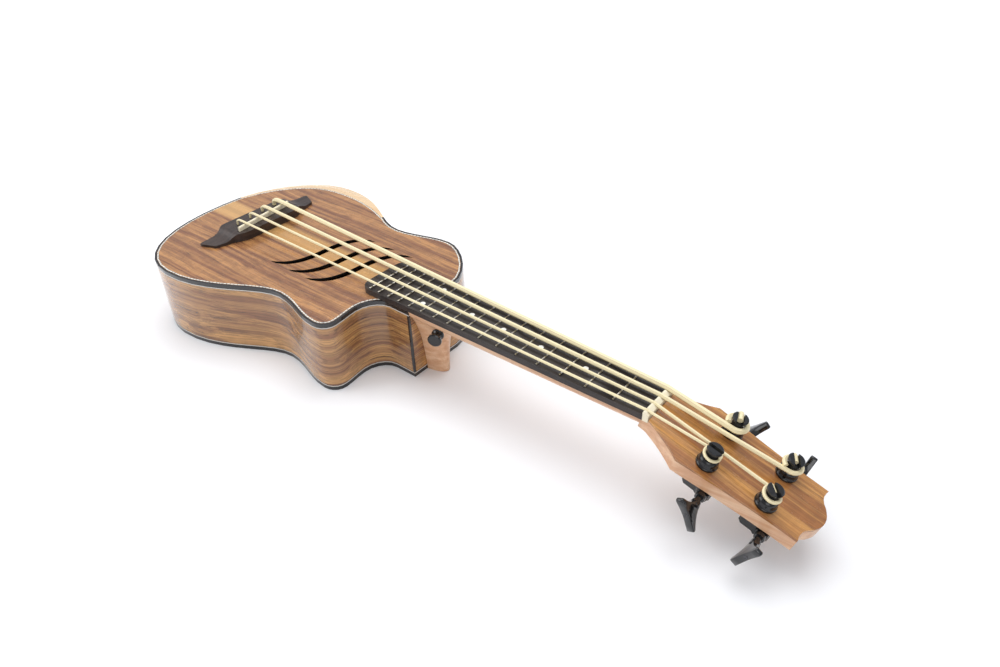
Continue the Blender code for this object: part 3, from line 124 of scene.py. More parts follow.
def linear(red, green, blue):
    """Linear colour of an sRGB colour given from 0 to 255, each over 10."""
    return tuple(((c / 255 + 0.055) / 1.055) ** 2.4 for c in (red, green, blue))


def feed(tree, socket, value):
    """Links a socket to another node's output, or sets it to a plain value."""
    if hasattr(value, "node"):
        tree.links.new(value, socket)
    else:
        socket.default_value = value


def add(tree, kind, **values):
    """A shader node with its socket values, given by socket name with underscores for spaces."""
    node = tree.nodes.new(kind)
    for name, value in values.items():
        feed(tree, node.inputs[name.replace("_", " ")], value)
    return node


def maths(tree, operation, *values, kind="ShaderNodeMath"):
    """The result of a maths node on one or two values."""
    node = tree.nodes.new(kind)
    node.operation = operation
    for socket, value in zip(node.inputs, values):
        feed(tree, socket, value)
    return node.outputs[0]


def scaled(tree, vector, amount):
    """A vector times a number that a group's user sets."""
    node = tree.nodes.new("ShaderNodeVectorMath")
    node.operation = "SCALE"
    feed(tree, node.inputs["Vector"], vector)
    feed(tree, node.inputs["Scale"], amount)
    return node.outputs[0]


def split_axes(tree, vector):
    """The x, y and z of a vector."""
    return add(tree, "ShaderNodeSeparateXYZ", Vector=vector).outputs


def join_axes(tree, x, y, z):
    return add(tree, "ShaderNodeCombineXYZ", X=x, Y=y, Z=z).outputs[0]


def ramp(tree, factor, stops):
    """A colour ramp through stops of a place and a colour."""
    node = tree.nodes.new("ShaderNodeValToRGB")
    tree.links.new(factor, node.inputs[0])
    elements = node.color_ramp.elements
    while len(elements) < len(stops):
        elements.new(0.5)
    for element, (place, colour) in zip(elements, stops):
        element.position = place
        element.color = opaque(colour)
    return node.outputs[0]


def mix(tree, factor, first, second):
    """Two colours mixed by a factor that changes over the surface."""
    node = tree.nodes.new("ShaderNodeMix")
    node.data_type = "RGBA"
    tree.links.new(factor, node.inputs[MIX_FACTOR])
    for index, colour in ((MIX_FIRST, first), (MIX_SECOND, second)):
        feed(tree, node.inputs[index], opaque(colour) if isinstance(colour, tuple) else colour)
    return node.outputs[MIX_RESULT]


def noise(tree, vector, detail, roughness=0.55):
    """Noise whose scale is in the vector that it reads."""
    node = add(tree, "ShaderNodeTexNoise", Vector=vector, Scale=1.0, Detail=detail, Roughness=roughness)
    return node.outputs["Fac"]


def stretched_noise(tree, place, density, detail, roughness=0.55):
    """Noise with its own number of features to the metre along each axis."""
    vector = maths(tree, "MULTIPLY", place, density, kind="ShaderNodeVectorMath")
    return noise(tree, vector, detail, roughness)


def new_group(name, inputs, outputs):
    """A shader node group with named sockets."""
    group = bpy.data.node_groups.new(name, "ShaderNodeTree")
    for label, kind, value in inputs:
        made = group.interface.new_socket(label, in_out="INPUT", socket_type=kind)
        made.default_value = value
    for label, kind in outputs:
        group.interface.new_socket(label, in_out="OUTPUT", socket_type=kind)
    return group, group.nodes.new("NodeGroupInput"), group.nodes.new("NodeGroupOutput")


# Shared effects

BOARD_DRIFT = (5.0, 9.0, 9.0)
STREAK_STRETCH = 0.022
FINE_STREAKS = (4.0, 4.5, 4.5)
CURL_BANDS = (150.0, 26.0, 26.0)
OPEN_PORES = (160.0, 2600.0, 2600.0)


def grain_group():
    """Long streaks, cross figure and open pores of a plain-sawn board, grain along x."""
    inputs = (
        ("Position", VECTOR, ORIGIN), ("Light", COLOUR, (0.5, 0.3, 0.15, 1.0)),
        ("Dark", COLOUR, (0.2, 0.1, 0.05, 1.0)), ("Streak", COLOUR, (0.1, 0.04, 0.03, 1.0)),
        ("Streak Amount", FLOAT, 0.6), ("Wander", FLOAT, 0.03), ("Streak Density", FLOAT, 60.0),
        ("Figure", FLOAT, 0.25), ("Pores", FLOAT, 0.5),
    )
    group, start, end = new_group("board_grain", inputs, (("Colour", COLOUR), ("Height", FLOAT)))
    given = start.outputs
    place = given["Position"]

    drift = maths(group, "SUBTRACT", stretched_noise(group, place, BOARD_DRIFT, 3.0), 0.5)
    shift = maths(group, "MULTIPLY", drift, given["Wander"])
    x, y, z = split_axes(group, place)
    drawn_out = join_axes(
        group,
        maths(group, "MULTIPLY", x, STREAK_STRETCH),
        maths(group, "ADD", y, shift),
        maths(group, "ADD", z, shift),
    )
    across = scaled(group, drawn_out, given["Streak Density"])

    wide = ramp(group, noise(group, across, 3.0, 0.5), ((0.40, BLACK), (0.60, WHITE)))
    fine = stretched_noise(group, across, FINE_STREAKS, 5.0, 0.65)
    line_stops = ((0.47, BLACK), (0.54, grey(0.5)), (0.60, grey(0.25)), (0.66, WHITE))
    amount = maths(group, "MULTIPLY", ramp(group, fine, line_stops), given["Streak Amount"])
    streaked = mix(group, amount, mix(group, wide, given["Light"], given["Dark"]), given["Streak"])

    curl = maths(group, "SUBTRACT", stretched_noise(group, place, CURL_BANDS, 2.0), 0.5)
    brightness = maths(group, "ADD", maths(group, "MULTIPLY", curl, given["Figure"]), 1.0)
    figured = add(group, "ShaderNodeHueSaturation", Color=streaked, Value=brightness).outputs[0]

    pores = stretched_noise(group, place, OPEN_PORES, 2.0)
    pits = ramp(group, pores, ((0.60, BLACK), (0.72, WHITE)))
    shown_pits = maths(group, "MULTIPLY", pits, given["Pores"])
    group.links.new(mix(group, shown_pits, figured, given["Streak"]), end.inputs["Colour"])
    group.links.new(maths(group, "MULTIPLY", pits, -1.0), end.inputs["Height"])
    return group


def smudge_group():
    """Faint handling marks that vary the gloss of lacquer, plastic and metal."""
    inputs = (("Position", VECTOR, ORIGIN), ("Low", FLOAT, 0.1), ("High", FLOAT, 0.3),
              ("Size", FLOAT, 60.0))
    group, start, end = new_group("handling_marks", inputs, (("Roughness", FLOAT), ("Height", FLOAT)))
    given = start.outputs
    patches = noise(group, scaled(group, given["Position"], given["Size"]), 4.0, 0.6)
    spread = add(group, "ShaderNodeMapRange", Value=patches, From_Min=0.3, From_Max=0.7,
                 To_Min=given["Low"], To_Max=given["High"])
    group.links.new(spread.outputs[0], end.inputs["Roughness"])
    group.links.new(patches, end.inputs["Height"])
    return group


GRAIN = grain_group()
SMUDGE = smudge_group()

# Materials

SAPWOOD_WAVER = (6.0, 30.0, 30.0)
SAPWOOD_FADE = 1.45
SAPWOOD_PALENESS = 0.62
GLOSS_SPREAD = 0.12
LACQUER_ROUGHNESS = 0.08
PORE_DEPTH = 0.00012
PORE_STRENGTH_LACQUERED = 0.25
PORE_STRENGTH_BARE = 0.5
MOULDED_GRAIN = (1400.0, 1400.0, 1400.0)
MOULDED_DEPTH = 0.00003
MOULDED_STRENGTH = 0.2
SHELL_CLOUDS = (260.0, 260.0, 260.0)


def start_material(name):
    """A new material with its tree, its shader and the place on the piece."""
    made = bpy.data.materials.new(name)
    made.use_nodes = True
    tree = made.node_tree
    place = tree.nodes.new("ShaderNodeTexCoord").outputs["Object"]
    return made, tree, tree.nodes["Principled BSDF"], place


def bump(tree, shader, height, strength, distance):
    node = add(tree, "ShaderNodeBump", Strength=strength, Distance=distance, Height=height)
    tree.links.new(node.outputs[0], shader.inputs["Normal"])


def placed(tree, group, place, **values):
    """One of the shared groups, placed in a material with its own values."""
    node = tree.nodes.new("ShaderNodeGroup")
    node.node_tree = group
    tree.links.new(place, node.inputs["Position"])
    for name, value in values.items():
        socket = node.inputs[name.replace("_", " ")]
        socket.default_value = opaque(value) if isinstance(value, tuple) else value
    return node


def add_sapwood(tree, place, from_centre, colour, reach, tint):
    """A paler stripe along the centre joint, whose edge wavers."""
    waver = maths(tree, "MULTIPLY", stretched_noise(tree, place, SAPWOOD_WAVER, 2.0), 0.5 * reach)
    pale = add(tree, "ShaderNodeMapRange", Value=maths(tree, "ADD", from_centre, waver),
               From_Min=reach, From_Max=SAPWOOD_FADE * reach, To_Min=SAPWOOD_PALENESS, To_Max=0.0)
    return mix(tree, pale.outputs[0], colour, tint)


def wood(name, light, dark, streak, gloss, turn=ORIGIN, shift=ORIGIN, bookmatched=False, bent=False,
         sapwood=None, coat=0.0, **grain):
    """Finished wood. turn and shift lay the board's grain on the piece; a bent board runs round a rib."""
    made, tree, shader, place = start_material(name)
    x, y, z = split_axes(tree, place)
    from_centre = maths(tree, "ABSOLUTE", y)
    if bookmatched:
        position = join_axes(tree, x, from_centre, z)
    elif bent:
        position = join_axes(tree, maths(tree, "ADD", x, from_centre), 0.0, z)
    else:
        laid = add(tree, "ShaderNodeMapping", Vector=place, Rotation=turn, Location=shift)
        position = laid.outputs[0]
    board = placed(tree, GRAIN, position, Light=light, Dark=dark, Streak=streak, **grain)
    colour = board.outputs["Colour"]
    if sapwood:
        colour = add_sapwood(tree, place, from_centre, colour, *sapwood)
    marks = placed(tree, SMUDGE, place, Low=gloss, High=gloss + GLOSS_SPREAD)
    tree.links.new(colour, shader.inputs["Base Color"])
    tree.links.new(marks.outputs["Roughness"], shader.inputs["Roughness"])
    shader.inputs["Coat Weight"].default_value = coat
    shader.inputs["Coat Roughness"].default_value = LACQUER_ROUGHNESS
    strength = PORE_STRENGTH_LACQUERED if coat else PORE_STRENGTH_BARE
    bump(tree, shader, board.outputs["Height"], strength, PORE_DEPTH)
    return made


def plain(name, colour, low, high, metallic=0.0, coat=0.0, size=60.0, shade=0.25):
    """Plastic, bone or metal, with handling marks in its gloss and its colour."""
    made, tree, shader, place = start_material(name)
    marks = placed(tree, SMUDGE, place, Low=low, High=high, Size=size)
    deeper = tuple((1.0 - shade) * c for c in colour)
    tree.links.new(mix(tree, marks.outputs["Height"], colour, deeper), shader.inputs["Base Color"])
    tree.links.new(marks.outputs["Roughness"], shader.inputs["Roughness"])
    shader.inputs["Metallic"].default_value = metallic
    shader.inputs["Coat Weight"].default_value = coat
    fine = stretched_noise(tree, place, MOULDED_GRAIN, 2.0)
    bump(tree, shader, fine, MOULDED_STRENGTH, MOULDED_DEPTH)
    return made


def binding_material(name, low, high):
    """Black binding with a thin pale line between two heights."""
    made, tree, shader, place = start_material(name)
    height = split_axes(tree, place)[2]
    above = maths(tree, "GREATER_THAN", height, low)
    below = maths(tree, "LESS_THAN", height, high)
    line = maths(tree, "MULTIPLY", above, below)
    marks = placed(tree, SMUDGE, place, Low=0.14, High=0.30)
    colour = mix(tree, line, linear(22, 21, 23), linear(205, 198, 188))
    tree.links.new(colour, shader.inputs["Base Color"])
    tree.links.new(marks.outputs["Roughness"], shader.inputs["Roughness"])
    shader.inputs["Coat Weight"].default_value = 0.5
    return made


def purfling_material():
    """Pale shell dashes with dark joints, by distance along the strip."""
    made, tree, shader, place = start_material("shell_purfling")
    along = tree.nodes.new("ShaderNodeAttribute")
    along.attribute_name = "along"
    step = maths(tree, "FRACT", maths(tree, "DIVIDE", along.outputs["Fac"], DASH_LENGTH))
    joint = maths(tree, "GREATER_THAN", step, DASH_SHARE)
    tints = ((0.35, linear(176, 182, 180)), (0.5, linear(236, 236, 226)), (0.66, linear(205, 196, 186)))
    shell = ramp(tree, stretched_noise(tree, place, SHELL_CLOUDS, 3.0), tints)
    tree.links.new(mix(tree, joint, shell, linear(58, 46, 40)), shader.inputs["Base Color"])
    shader.inputs["Roughness"].default_value = 0.22
    return made


TOP_BINDING_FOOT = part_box("binding_top")[0].z
BACK_BINDING_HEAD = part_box("binding_back")[1].z
FINISHES = {
    "top": wood(
        "koa_top", linear(186, 134, 84), linear(134, 88, 58), linear(70, 42, 34), gloss=0.20,
        bookmatched=True, sapwood=(0.017, linear(214, 170, 108)), coat=0.4,
        Streak_Amount=0.80, Streak_Density=150.0, Wander=0.022, Figure=0.36, Pores=0.45),
    "sides": wood(
        "koa_sides", linear(196, 146, 88), linear(136, 90, 58), linear(56, 34, 27), gloss=0.14,
        bent=True, coat=0.6,
        Streak_Amount=0.95, Streak_Density=120.0, Wander=0.065, Figure=0.30, Pores=0.3),
    "back": wood(
        "koa_back", linear(178, 128, 78), linear(134, 90, 58), linear(66, 40, 30), gloss=0.18,
        bookmatched=True, coat=0.5,
        Streak_Amount=0.8, Streak_Density=140.0, Wander=0.03, Figure=0.3, Pores=0.4),
    "veneer": wood(
        "koa_headplate", linear(206, 150, 84), linear(160, 104, 56), linear(96, 58, 36), gloss=0.18,
        turn=(0.0, -HEAD_SLOPE, 0.0), shift=(0.0, 0.3, 0.1), coat=0.5,
        Streak_Amount=0.70, Streak_Density=150.0, Wander=0.016, Figure=0.32, Pores=0.4),
    "neck": wood(
        "neck_mahogany", linear(224, 184, 148), linear(206, 156, 118), linear(172, 116, 80), gloss=0.28,
        coat=0.25,
        Streak_Amount=0.4, Streak_Density=150.0, Wander=0.012, Figure=0.16, Pores=0.4),
    "armrest": wood(
        "pale_maple", linear(238, 208, 166), linear(226, 190, 146), linear(198, 156, 112), gloss=0.22,
        coat=0.4,
        Streak_Amount=0.35, Streak_Density=120.0, Wander=0.02, Figure=0.14, Pores=0.1),
    "inside": wood(
        "unfinished_spruce", linear(206, 172, 124), linear(188, 150, 104), linear(150, 110, 72),
        gloss=0.6,
        Streak_Amount=0.5, Streak_Density=180.0, Wander=0.01, Figure=0.08, Pores=0.3),
    "fretboard": wood(
        "dark_fretboard", linear(48, 38, 34), linear(34, 27, 26), linear(20, 15, 15), gloss=0.38,
        Streak_Amount=0.6, Streak_Density=260.0, Wander=0.01, Figure=0.2, Pores=0.7),
    "bridge": wood(
        "dark_bridge", linear(66, 52, 46), linear(46, 36, 33), linear(26, 19, 18), gloss=0.34,
        turn=(0.0, 0.0, math.pi / 2),
        Streak_Amount=0.6, Streak_Density=240.0, Wander=0.01, Figure=0.2, Pores=0.7),
    "binding": binding_material("top_binding", TOP_BINDING_FOOT, TOP_BINDING_FOOT + LINE_WIDTH),
    "back_binding": binding_material("back_binding", BACK_BINDING_HEAD - LINE_WIDTH, BACK_BINDING_HEAD),
    "slit_edge": plain("blackened_slit_edge", linear(16, 14, 14), low=0.4, high=0.6),
    "bone": plain("polished_bone", linear(240, 230, 202), low=0.25, high=0.40, shade=0.10),
    "frets": plain(
        "fret_metal", linear(206, 200, 190), low=0.18, high=0.34, metallic=1.0, shade=0.12),
    "string": plain(
        "string_polymer", linear(240, 226, 184), low=0.38, high=0.52, shade=0.10, size=140.0),
    "black_metal": plain(
        "black_plating", linear(22, 22, 24), low=0.16, high=0.34, metallic=0.4, coat=0.4),
    "cap": plain("satin_cap", linear(44, 45, 48), low=0.30, high=0.46, metallic=0.5),
    "key": plain("gloss_black_key", linear(18, 19, 22), low=0.08, high=0.22, metallic=0.3, coat=0.8),
    "dot": plain("pearl_dot", linear(244, 243, 238), low=0.15, high=0.30, shade=0.12, size=500.0),
    "screw": plain("dark_screw", linear(92, 92, 96), low=0.22, high=0.40, metallic=1.0),
    "purfling": purfling_material(),
}

# Object helpers


def in_scene(name, data):
    """A new object for a mesh, curve, lamp or camera."""
    made = bpy.data.objects.new(name, data)
    bpy.context.scene.collection.objects.link(made)
    return made


def as_mesh(guide):
    """The evaluated mesh of a guide object, which is then removed."""
    view = bpy.context.evaluated_depsgraph_get()
    mesh = bpy.data.meshes.new_from_object(guide.evaluated_get(view))
    bpy.data.objects.remove(guide)
    return mesh


def welded(mesh):
    """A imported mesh's loose triangles, merged for editing."""
    shape = bmesh.new()
    shape.from_mesh(mesh)
    bmesh.ops.remove_doubles(shape, verts=shape.verts, dist=WELD_DISTANCE)
    return shape


def shade(mesh, sharp_angle):
    mesh.shade_smooth()
    mesh.set_sharp_from_angle(angle=sharp_angle)


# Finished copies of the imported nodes

BODY_PIECES = (
    ("top_plate", "top", "figured_tonewood"), ("back_plate", "back", "figured_tonewood"),
    ("rib_bass", "sides", "figured_tonewood"), ("rib_treble", "sides", "figured_tonewood"),
    ("head_veneer", "veneer", "figured_tonewood"), ("binding_top", "binding", "black_binding"),
    ("binding_back", "back_binding", "black_binding"), ("corner_strip", "binding", "black_binding"),
    ("armrest", "armrest", "pale_wood"), ("bridge_plate", "armrest", "pale_wood"),
    ("lining_top", "inside", "lining_wood"), ("lining_back", "inside", "lining_wood"),
    ("brace_top", "inside", "lining_wood"), ("brace_back_upper", "inside", "lining_wood"),
    ("brace_back_lower", "inside", "lining_wood"), ("neck", "neck", "neck_wood"),
    ("neck_block", "neck", "neck_wood"), ("tail_block", "neck", "neck_wood"),
    ("bridge", "bridge", "bridge_wood"), ("fretboard", "fretboard", "fretboard_wood"),
    ("saddle", "bone", "bone"), ("nut", "bone", "bone"), ("end_pin", "black_metal", "black_metal"),
    ("strap_button", "black_metal", "black_metal"),
)


def finished(node, finish, body=INSTRUMENT):
    """A welded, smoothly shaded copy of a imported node, which stands for it."""
    mesh = frame["nodes"][node].data.copy()
    shape = welded(mesh)
    bmesh.ops.dissolve_limit(shape, angle_limit=FLAT_ANGLE, verts=shape.verts, edges=shape.edges)
    shape.to_mesh(mesh)
    shape.free()
    mesh.materials.clear()
    mesh.materials.append(FINISHES[finish])
    shade(mesh, SHARP_ANGLE)
    piece = in_scene(node + "_finished", mesh)
    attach(piece, body)
    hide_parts(node)
    return piece


def blacken_edges(piece):
    """Puts the black finish on the cut edges of the slits and the rim of the top."""
    piece.data.materials.append(FINISHES["slit_edge"])
    for face in piece.data.polygons:
        if abs(face.normal.z) < EDGE_STEEPNESS:
            face.material_index = 1


def finish_nodes():
    pieces = {node: finished(node, finish) for node, finish, slot in BODY_PIECES}
    blacken_edges(pieces["top_plate"])
    for number in range(1, FRETS + 1):
        finished("fret_%02d" % number, "frets")
    for number in range(1, STRINGS + 1):
        finished("string_%d" % number, "string")
        finished("tuner_housing_%d" % number, "black_metal")
        finished("tuner_ferrule_%d" % number, "black_metal")
        finished("tuner_post_%d" % number, "cap", "post_%d" % number)
        finished("tuner_key_%d" % number, "key", "key_%d" % number)


# Purfling inside the binding, along the real edge of the top


def plate_edge():
    """Outer edge of the top plate as a closed list of points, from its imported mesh."""
    shape = welded(frame["nodes"]["top_plate"].data)
    level = max(vertex.co.z for vertex in shape.verts) - TOP_FACE_DEPTH
    flat = {
        face for face in shape.faces
        if face.normal.z > LEVEL_NORMAL and face.calc_center_median().z > level
    }
    follow = {}
    for face in flat:
        for loop in face.loops:
            if any(other not in flat for other in loop.edge.link_faces):
                follow[loop.vert] = loop.link_loop_next.vert
    # Two corners share the lowest x, so y settles where the strip starts
    first = min(follow, key=lambda vertex: (vertex.co.x, vertex.co.y))
    points = [first.co.copy()]
    vertex = follow[first]
    while vertex is not first:
        points.append(vertex.co.copy())
        vertex = follow[vertex]
    shape.free()
    return points


def inset_points(points, depth):
    """Points moved inwards across a counter-clockwise outline."""
    moved = []
    count = len(points)
    for index, here in enumerate(points):
        before = (here - points[index - 1]).normalized()
        after = (points[(index + 1) % count] - here).normalized()
        first = Vector((-before.y, before.x, 0.0))
        second = Vector((-after.y, after.x, 0.0))
        moved.append(here + depth * (first + second) / (1.0 + first.dot(second)))
    return moved


def make_purfling():
    """A thin strip let into the top. Its start and end meet, and it stores the distance along it."""
    edge = plate_edge()
    outer = inset_points(edge, PURFLING_SETBACK)
    inner = inset_points(edge, PURFLING_SETBACK + PURFLING_WIDTH)
    lift = Vector((0.0, 0.0, PURFLING_RAISE))
    shape = bmesh.new()
    along = shape.verts.layers.float.new("along")
    rows = []
    travelled = 0.0
    for index in range(len(edge) + 1):
        step = index % len(edge)
        if index:
            travelled += (edge[step] - edge[index - 1]).length
        corners = (outer[step] - lift, outer[step] + lift, inner[step] + lift, inner[step] - lift)
        row = [shape.verts.new(corner) for corner in corners]
        for vertex in row:
            vertex[along] = travelled
        rows.append(row)
    for first, second in zip(rows, rows[1:]):
        for side in range(len(first)):
            other = (side + 1) % len(first)
            shape.faces.new((first[side], first[other], second[other], second[side]))
    shape.faces.new(rows[0])
    shape.faces.new(list(reversed(rows[-1])))
    bmesh.ops.recalc_face_normals(shape, faces=shape.faces)
    mesh = bpy.data.meshes.new("purfling")
    shape.to_mesh(mesh)
    shape.free()
    mesh.materials.append(FINISHES["purfling"])
    piece = in_scene("purfling", mesh)
    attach(piece, INSTRUMENT)


# Position dots, instanced on points between the frets


def disc_tree(name):
    """A geometry tree that puts a short disc on each point, turned with the board."""
    tree = bpy.data.node_groups.new(name, "GeometryNodeTree")
    tree.interface.new_socket("Geometry", in_out="INPUT", socket_type="NodeSocketGeometry")
    radius = tree.interface.new_socket("Radius", in_out="INPUT", socket_type=FLOAT)
    depth = tree.interface.new_socket("Thickness", in_out="INPUT", socket_type=FLOAT)
    tilt = tree.interface.new_socket("Tilt", in_out="INPUT", socket_type=VECTOR)
    tree.interface.new_socket("Geometry", in_out="OUTPUT", socket_type="NodeSocketGeometry")
    given = tree.nodes.new("NodeGroupInput").outputs
    end = tree.nodes.new("NodeGroupOutput")
    disc = add(tree, "GeometryNodeMeshCylinder", Vertices=DOT_SIDES, Radius=given["Radius"],
               Depth=given["Thickness"])
    spread = add(tree, "GeometryNodeInstanceOnPoints", Points=given["Geometry"],
                 Instance=disc.outputs["Mesh"], Rotation=given["Tilt"])
    real = add(tree, "GeometryNodeRealizeInstances", Geometry=spread.outputs["Instances"])
    colour = add(tree, "GeometryNodeSetMaterial", Geometry=real.outputs["Geometry"],
                 Material=FINISHES["dot"])
    tree.links.new(colour.outputs["Geometry"], end.inputs["Geometry"])
    return tree, radius.identifier, depth.identifier, tilt.identifier


def board_plane():
    """Nut end and far end of the playing face, from the fretboard's corners."""
    points = [vertex.co for vertex in frame["nodes"]["fretboard"].data.vertices]
    nut_end = max(points, key=lambda point: (round(point.x, 4), point.z))
    limit = min(point.x for point in points) + BOARD_END_STRETCH
    far_end = max((point for point in points if point.x < limit), key=lambda point: point.z)
    return Vector((nut_end.x, 0.0, nut_end.z)), Vector((far_end.x, 0.0, far_end.z))


def fret_distance(fret):
    """Distance of a fret from the nut, in equal temperament."""
    return SCALE_LENGTH * (1 - 2 ** (-fret / 12))


def make_dots():
    """Dots midway between a fret and the one before it, two of them at the octave."""
    nut_end, far_end = board_plane()
    along = (far_end - nut_end).normalized()
    normal = Vector((-along.z, 0.0, along.x))
    if normal.z < 0:
        normal = -normal
    middles = []
    for fret in DOT_FRETS + (DOUBLE_DOT_FRET,):
        middle = 0.5 * (fret_distance(fret) + fret_distance(fret - 1))
        sides = (-DOUBLE_DOT_SPREAD, DOUBLE_DOT_SPREAD) if fret == DOUBLE_DOT_FRET else (0.0,)
        for side in sides:
            middles.append(nut_end + middle * along + Vector((0.0, side, 0.0)))
    points = bpy.data.meshes.new("dots")
    points.from_pydata([tuple(point) for point in middles], [], [])
    guide = in_scene("dots_guide", points)
    tree, radius, depth, tilt = disc_tree("board_dots")
    spread = guide.modifiers.new("dots", "NODES")
    spread.node_group = tree
    spread[radius] = DOT_RADIUS
    spread[depth] = 2 * DOT_RAISE
    spread[tilt] = tuple(normal.to_track_quat("Z", "Y").to_euler())
    piece = in_scene("position_dots", as_mesh(guide))
    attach(piece, INSTRUMENT)


# String ends in the slots of the posts, one value for each string

STRING_RADII = (0.00133, 0.00158, 0.00212, 0.00273)
SLOT_ANGLES = (0.0, -44.0, -60.0, -71.0)
TAIL_SIDES = (1, -1, -1, -1)

# Heights on a post, and the way of a string end in string radii and in shares of its reach

WAIST_RADIUS = 0.0052
WAIST_CLEARANCE = 0.0002
WINDING_TOP = 0.0170
SLOT_FLOOR = 0.0156
END_DROPS = (1.6, 0.6)
END_REACHES = (0.85, 0.4, -0.15)
END_SHARP_ANGLE = math.radians(60)


def post_directions(joint):
    """Directions along the headstock, across it and out of it, and the post's place."""
    out = Vector(joint["axis"]).normalized()
    across = Vector((0.0, 1.0, 0.0))
    return across.cross(out), across, out, Vector(joint["pos_m"])


def string_end_stops(radius):
    """Reach and height of a string end that climbs the post and lies down in its slot."""
    outside = WAIST_RADIUS + radius + WAIST_CLEARANCE
    climb = [(outside, WINDING_TOP - drop * radius) for drop in END_DROPS]
    return climb + [(share * outside, SLOT_FLOOR + radius) for share in END_REACHES]


def make_string_end(number, joint):
    along, across, out, place = post_directions(joint)
    radius = STRING_RADII[number - 1]
    angle = math.radians(SLOT_ANGLES[number - 1])
    heading = TAIL_SIDES[number - 1] * (math.cos(angle) * along + math.sin(angle) * across)
    stops = string_end_stops(radius)
    curve = bpy.data.curves.new("string_end", "CURVE")
    curve.dimensions = "3D"
    curve.bevel_depth = radius
    curve.bevel_resolution = 4
    curve.use_fill_caps = True
    spline = curve.splines.new("NURBS")
    spline.points.add(len(stops) - 1)
    for point, (reach, height) in zip(spline.points, stops):
        point.co = (*(place + reach * heading + height * out), 1.0)
    spline.order_u = 3
    spline.use_endpoint_u = True
    mesh = as_mesh(in_scene("string_end_guide", curve))
    mesh.materials.clear()
    mesh.materials.append(FINISHES["string"])
    shade(mesh, END_SHARP_ANGLE)
    piece = in_scene("string_end_%d" % number, mesh)
    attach(piece, "post_%d" % number)


# Screws in the keys

KEY_HOLLOW = 0.0016
SCREW_RADIUS = 0.0019
SCREW_HEIGHT = 0.0007
SCREW_SIDES = 32
SCREW_TOP_SHARE = 0.86
RECESS_MARGIN_SHARE = 0.45
RECESS_DEPTH = 0.0004


def make_key_screw(number, joint):
    """A round screw head with a shallow round recess, in the hollow end of a key."""
    side = 1.0 if joint["axis"][1] > 0 else -1.0
    low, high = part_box("tuner_key_%d" % number)
    end = (high.y if side > 0 else low.y) - side * KEY_HOLLOW
    x, _, z = joint["pos_m"]
    shape = bmesh.new()
    bmesh.ops.create_cone(shape, cap_ends=True, segments=SCREW_SIDES, radius1=SCREW_RADIUS,
                          radius2=SCREW_TOP_SHARE * SCREW_RADIUS, depth=SCREW_HEIGHT)
    top = max(shape.faces, key=lambda face: face.calc_center_median().z)
    margin = RECESS_MARGIN_SHARE * SCREW_RADIUS
    bmesh.ops.inset_individual(shape, faces=[top], thickness=margin)
    bmesh.ops.translate(shape, vec=(0, 0, -RECESS_DEPTH), verts=top.verts)
    turn = Matrix.Rotation(-side * math.pi / 2, 3, "X")
    bmesh.ops.rotate(shape, cent=(0, 0, 0), verts=shape.verts, matrix=turn)
    bmesh.ops.translate(shape, vec=(x, end, z), verts=shape.verts)
    mesh = bpy.data.meshes.new("key_screw")
    shape.to_mesh(mesh)
    shape.free()
    mesh.materials.append(FINISHES["screw"])
    piece = in_scene("key_screw_%d" % number, mesh)
    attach(piece, "key_%d" % number)


# Floor, light and camera

FLOOR_REACH = 14.0
FLOOR_GAP = 0.0002
FLOOR_COLOUR = (0.90, 0.905, 0.92)
FLOOR_GLOW = (0.97, 0.98, 1.0)
GLOW_START = 0.5
GLOW_END = 2.2
SKY_COLOUR = (0.93, 0.95, 1.0)
SKY_STRENGTH = 0.55
SKY_EXTRA_WHEN_SEEN = 0.45

# Each softbox has its name, place, aim, size and power in watts

SOFTBOXES = (
    ("overhead_softbox", (-0.3, 0.5, 1.9), (0.0, 0.0, 0.05), (2.2, 2.0), 34.0),
    ("left_softbox", (-1.6, -1.0, 1.1), (-0.1, 0.0, 0.05), (1.4, 1.2), 15.0),
    ("front_softbox", (1.4, -1.6, 1.2), (0.1, 0.0, 0.05), (1.4, 1.2), 10.0),
)


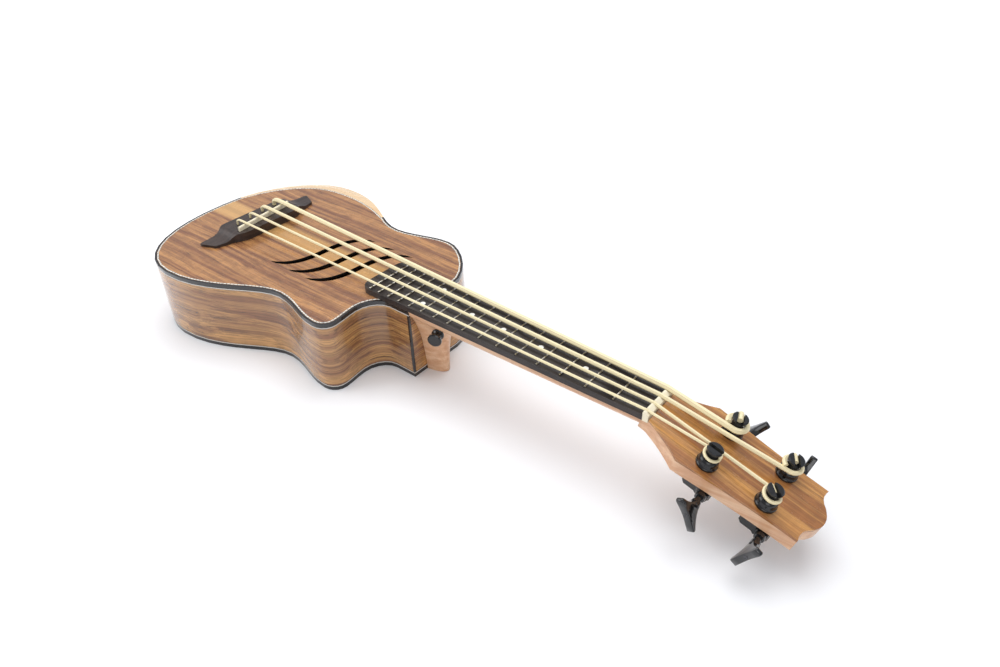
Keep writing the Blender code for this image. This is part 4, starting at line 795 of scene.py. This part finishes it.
def floor_material():
    """Pale floor that turns to plain white for the camera far out, and keeps the shadow near by."""
    made, tree, shader, place = start_material("white_floor")
    shader.inputs["Base Color"].default_value = opaque(FLOOR_COLOUR)
    shader.inputs["Roughness"].default_value = 0.75
    shader.inputs["Specular IOR Level"].default_value = 0.2
    shader.inputs["Emission Color"].default_value = opaque(FLOOR_GLOW)
    distance = tree.nodes.new("ShaderNodeVectorMath")
    distance.operation = "LENGTH"
    tree.links.new(place, distance.inputs[0])
    far = add(tree, "ShaderNodeMapRange", Value=distance.outputs["Value"], From_Min=GLOW_START,
              From_Max=GLOW_END)
    seen = tree.nodes.new("ShaderNodeLightPath").outputs["Is Camera Ray"]
    glow = maths(tree, "MULTIPLY", far.outputs[0], seen)
    tree.links.new(glow, shader.inputs["Emission Strength"])
    return made


def make_floor():
    height = size_at_start[0].z - FLOOR_GAP
    signs = ((-1, -1), (1, -1), (1, 1), (-1, 1))
    corners = [(x * FLOOR_REACH, y * FLOOR_REACH, height) for x, y in signs]
    mesh = bpy.data.meshes.new("floor")
    mesh.from_pydata(corners, [], [(0, 1, 2, 3)])
    mesh.materials.append(floor_material())
    floor = in_scene("floor", mesh)


def make_lamp(name, place, aim, size, power):
    data = bpy.data.lights.new(name, "AREA")
    data.shape = "RECTANGLE"
    data.size, data.size_y = size
    data.energy = power
    lamp = in_scene(name, data)
    lamp.location = place
    lamp.rotation_euler = (Vector(aim) - Vector(place)).to_track_quat("-Z", "Y").to_euler()


def make_room():
    """A pale room whose full brightness only the camera sees."""
    world = bpy.data.worlds.new("white_room")
    bpy.context.scene.world = world
    world.use_nodes = True
    tree = world.node_tree
    sky = tree.nodes["Background"]
    sky.inputs["Color"].default_value = opaque(SKY_COLOUR)
    seen = tree.nodes.new("ShaderNodeLightPath").outputs["Is Camera Ray"]
    extra = maths(tree, "MULTIPLY", seen, SKY_EXTRA_WHEN_SEEN)
    tree.links.new(maths(tree, "ADD", extra, SKY_STRENGTH), sky.inputs["Strength"])


def make_camera():
    data = bpy.data.cameras.new("photo_view")
    data.lens = CAMERA_LENS
    data.sensor_width = CAMERA_SENSOR
    data.clip_start = CAMERA_CLIP_START
    camera = in_scene("photo_view", data)
    camera.location = CAMERA_PLACE
    camera.rotation_euler = [math.radians(angle) for angle in CAMERA_TURN]
    bpy.context.scene.camera = camera


finish_nodes()
make_purfling()
make_dots()
joints = {joint["name"]: joint for joint in frame["joints"]}
for number in range(1, STRINGS + 1):
    make_string_end(number, joints["post_turn_%d" % number])
    make_key_screw(number, joints["key_turn_%d" % number])
make_floor()
for softbox in SOFTBOXES:
    make_lamp(*softbox)
make_room()
make_camera()
bpy.context.scene.view_settings.view_transform = "Standard"
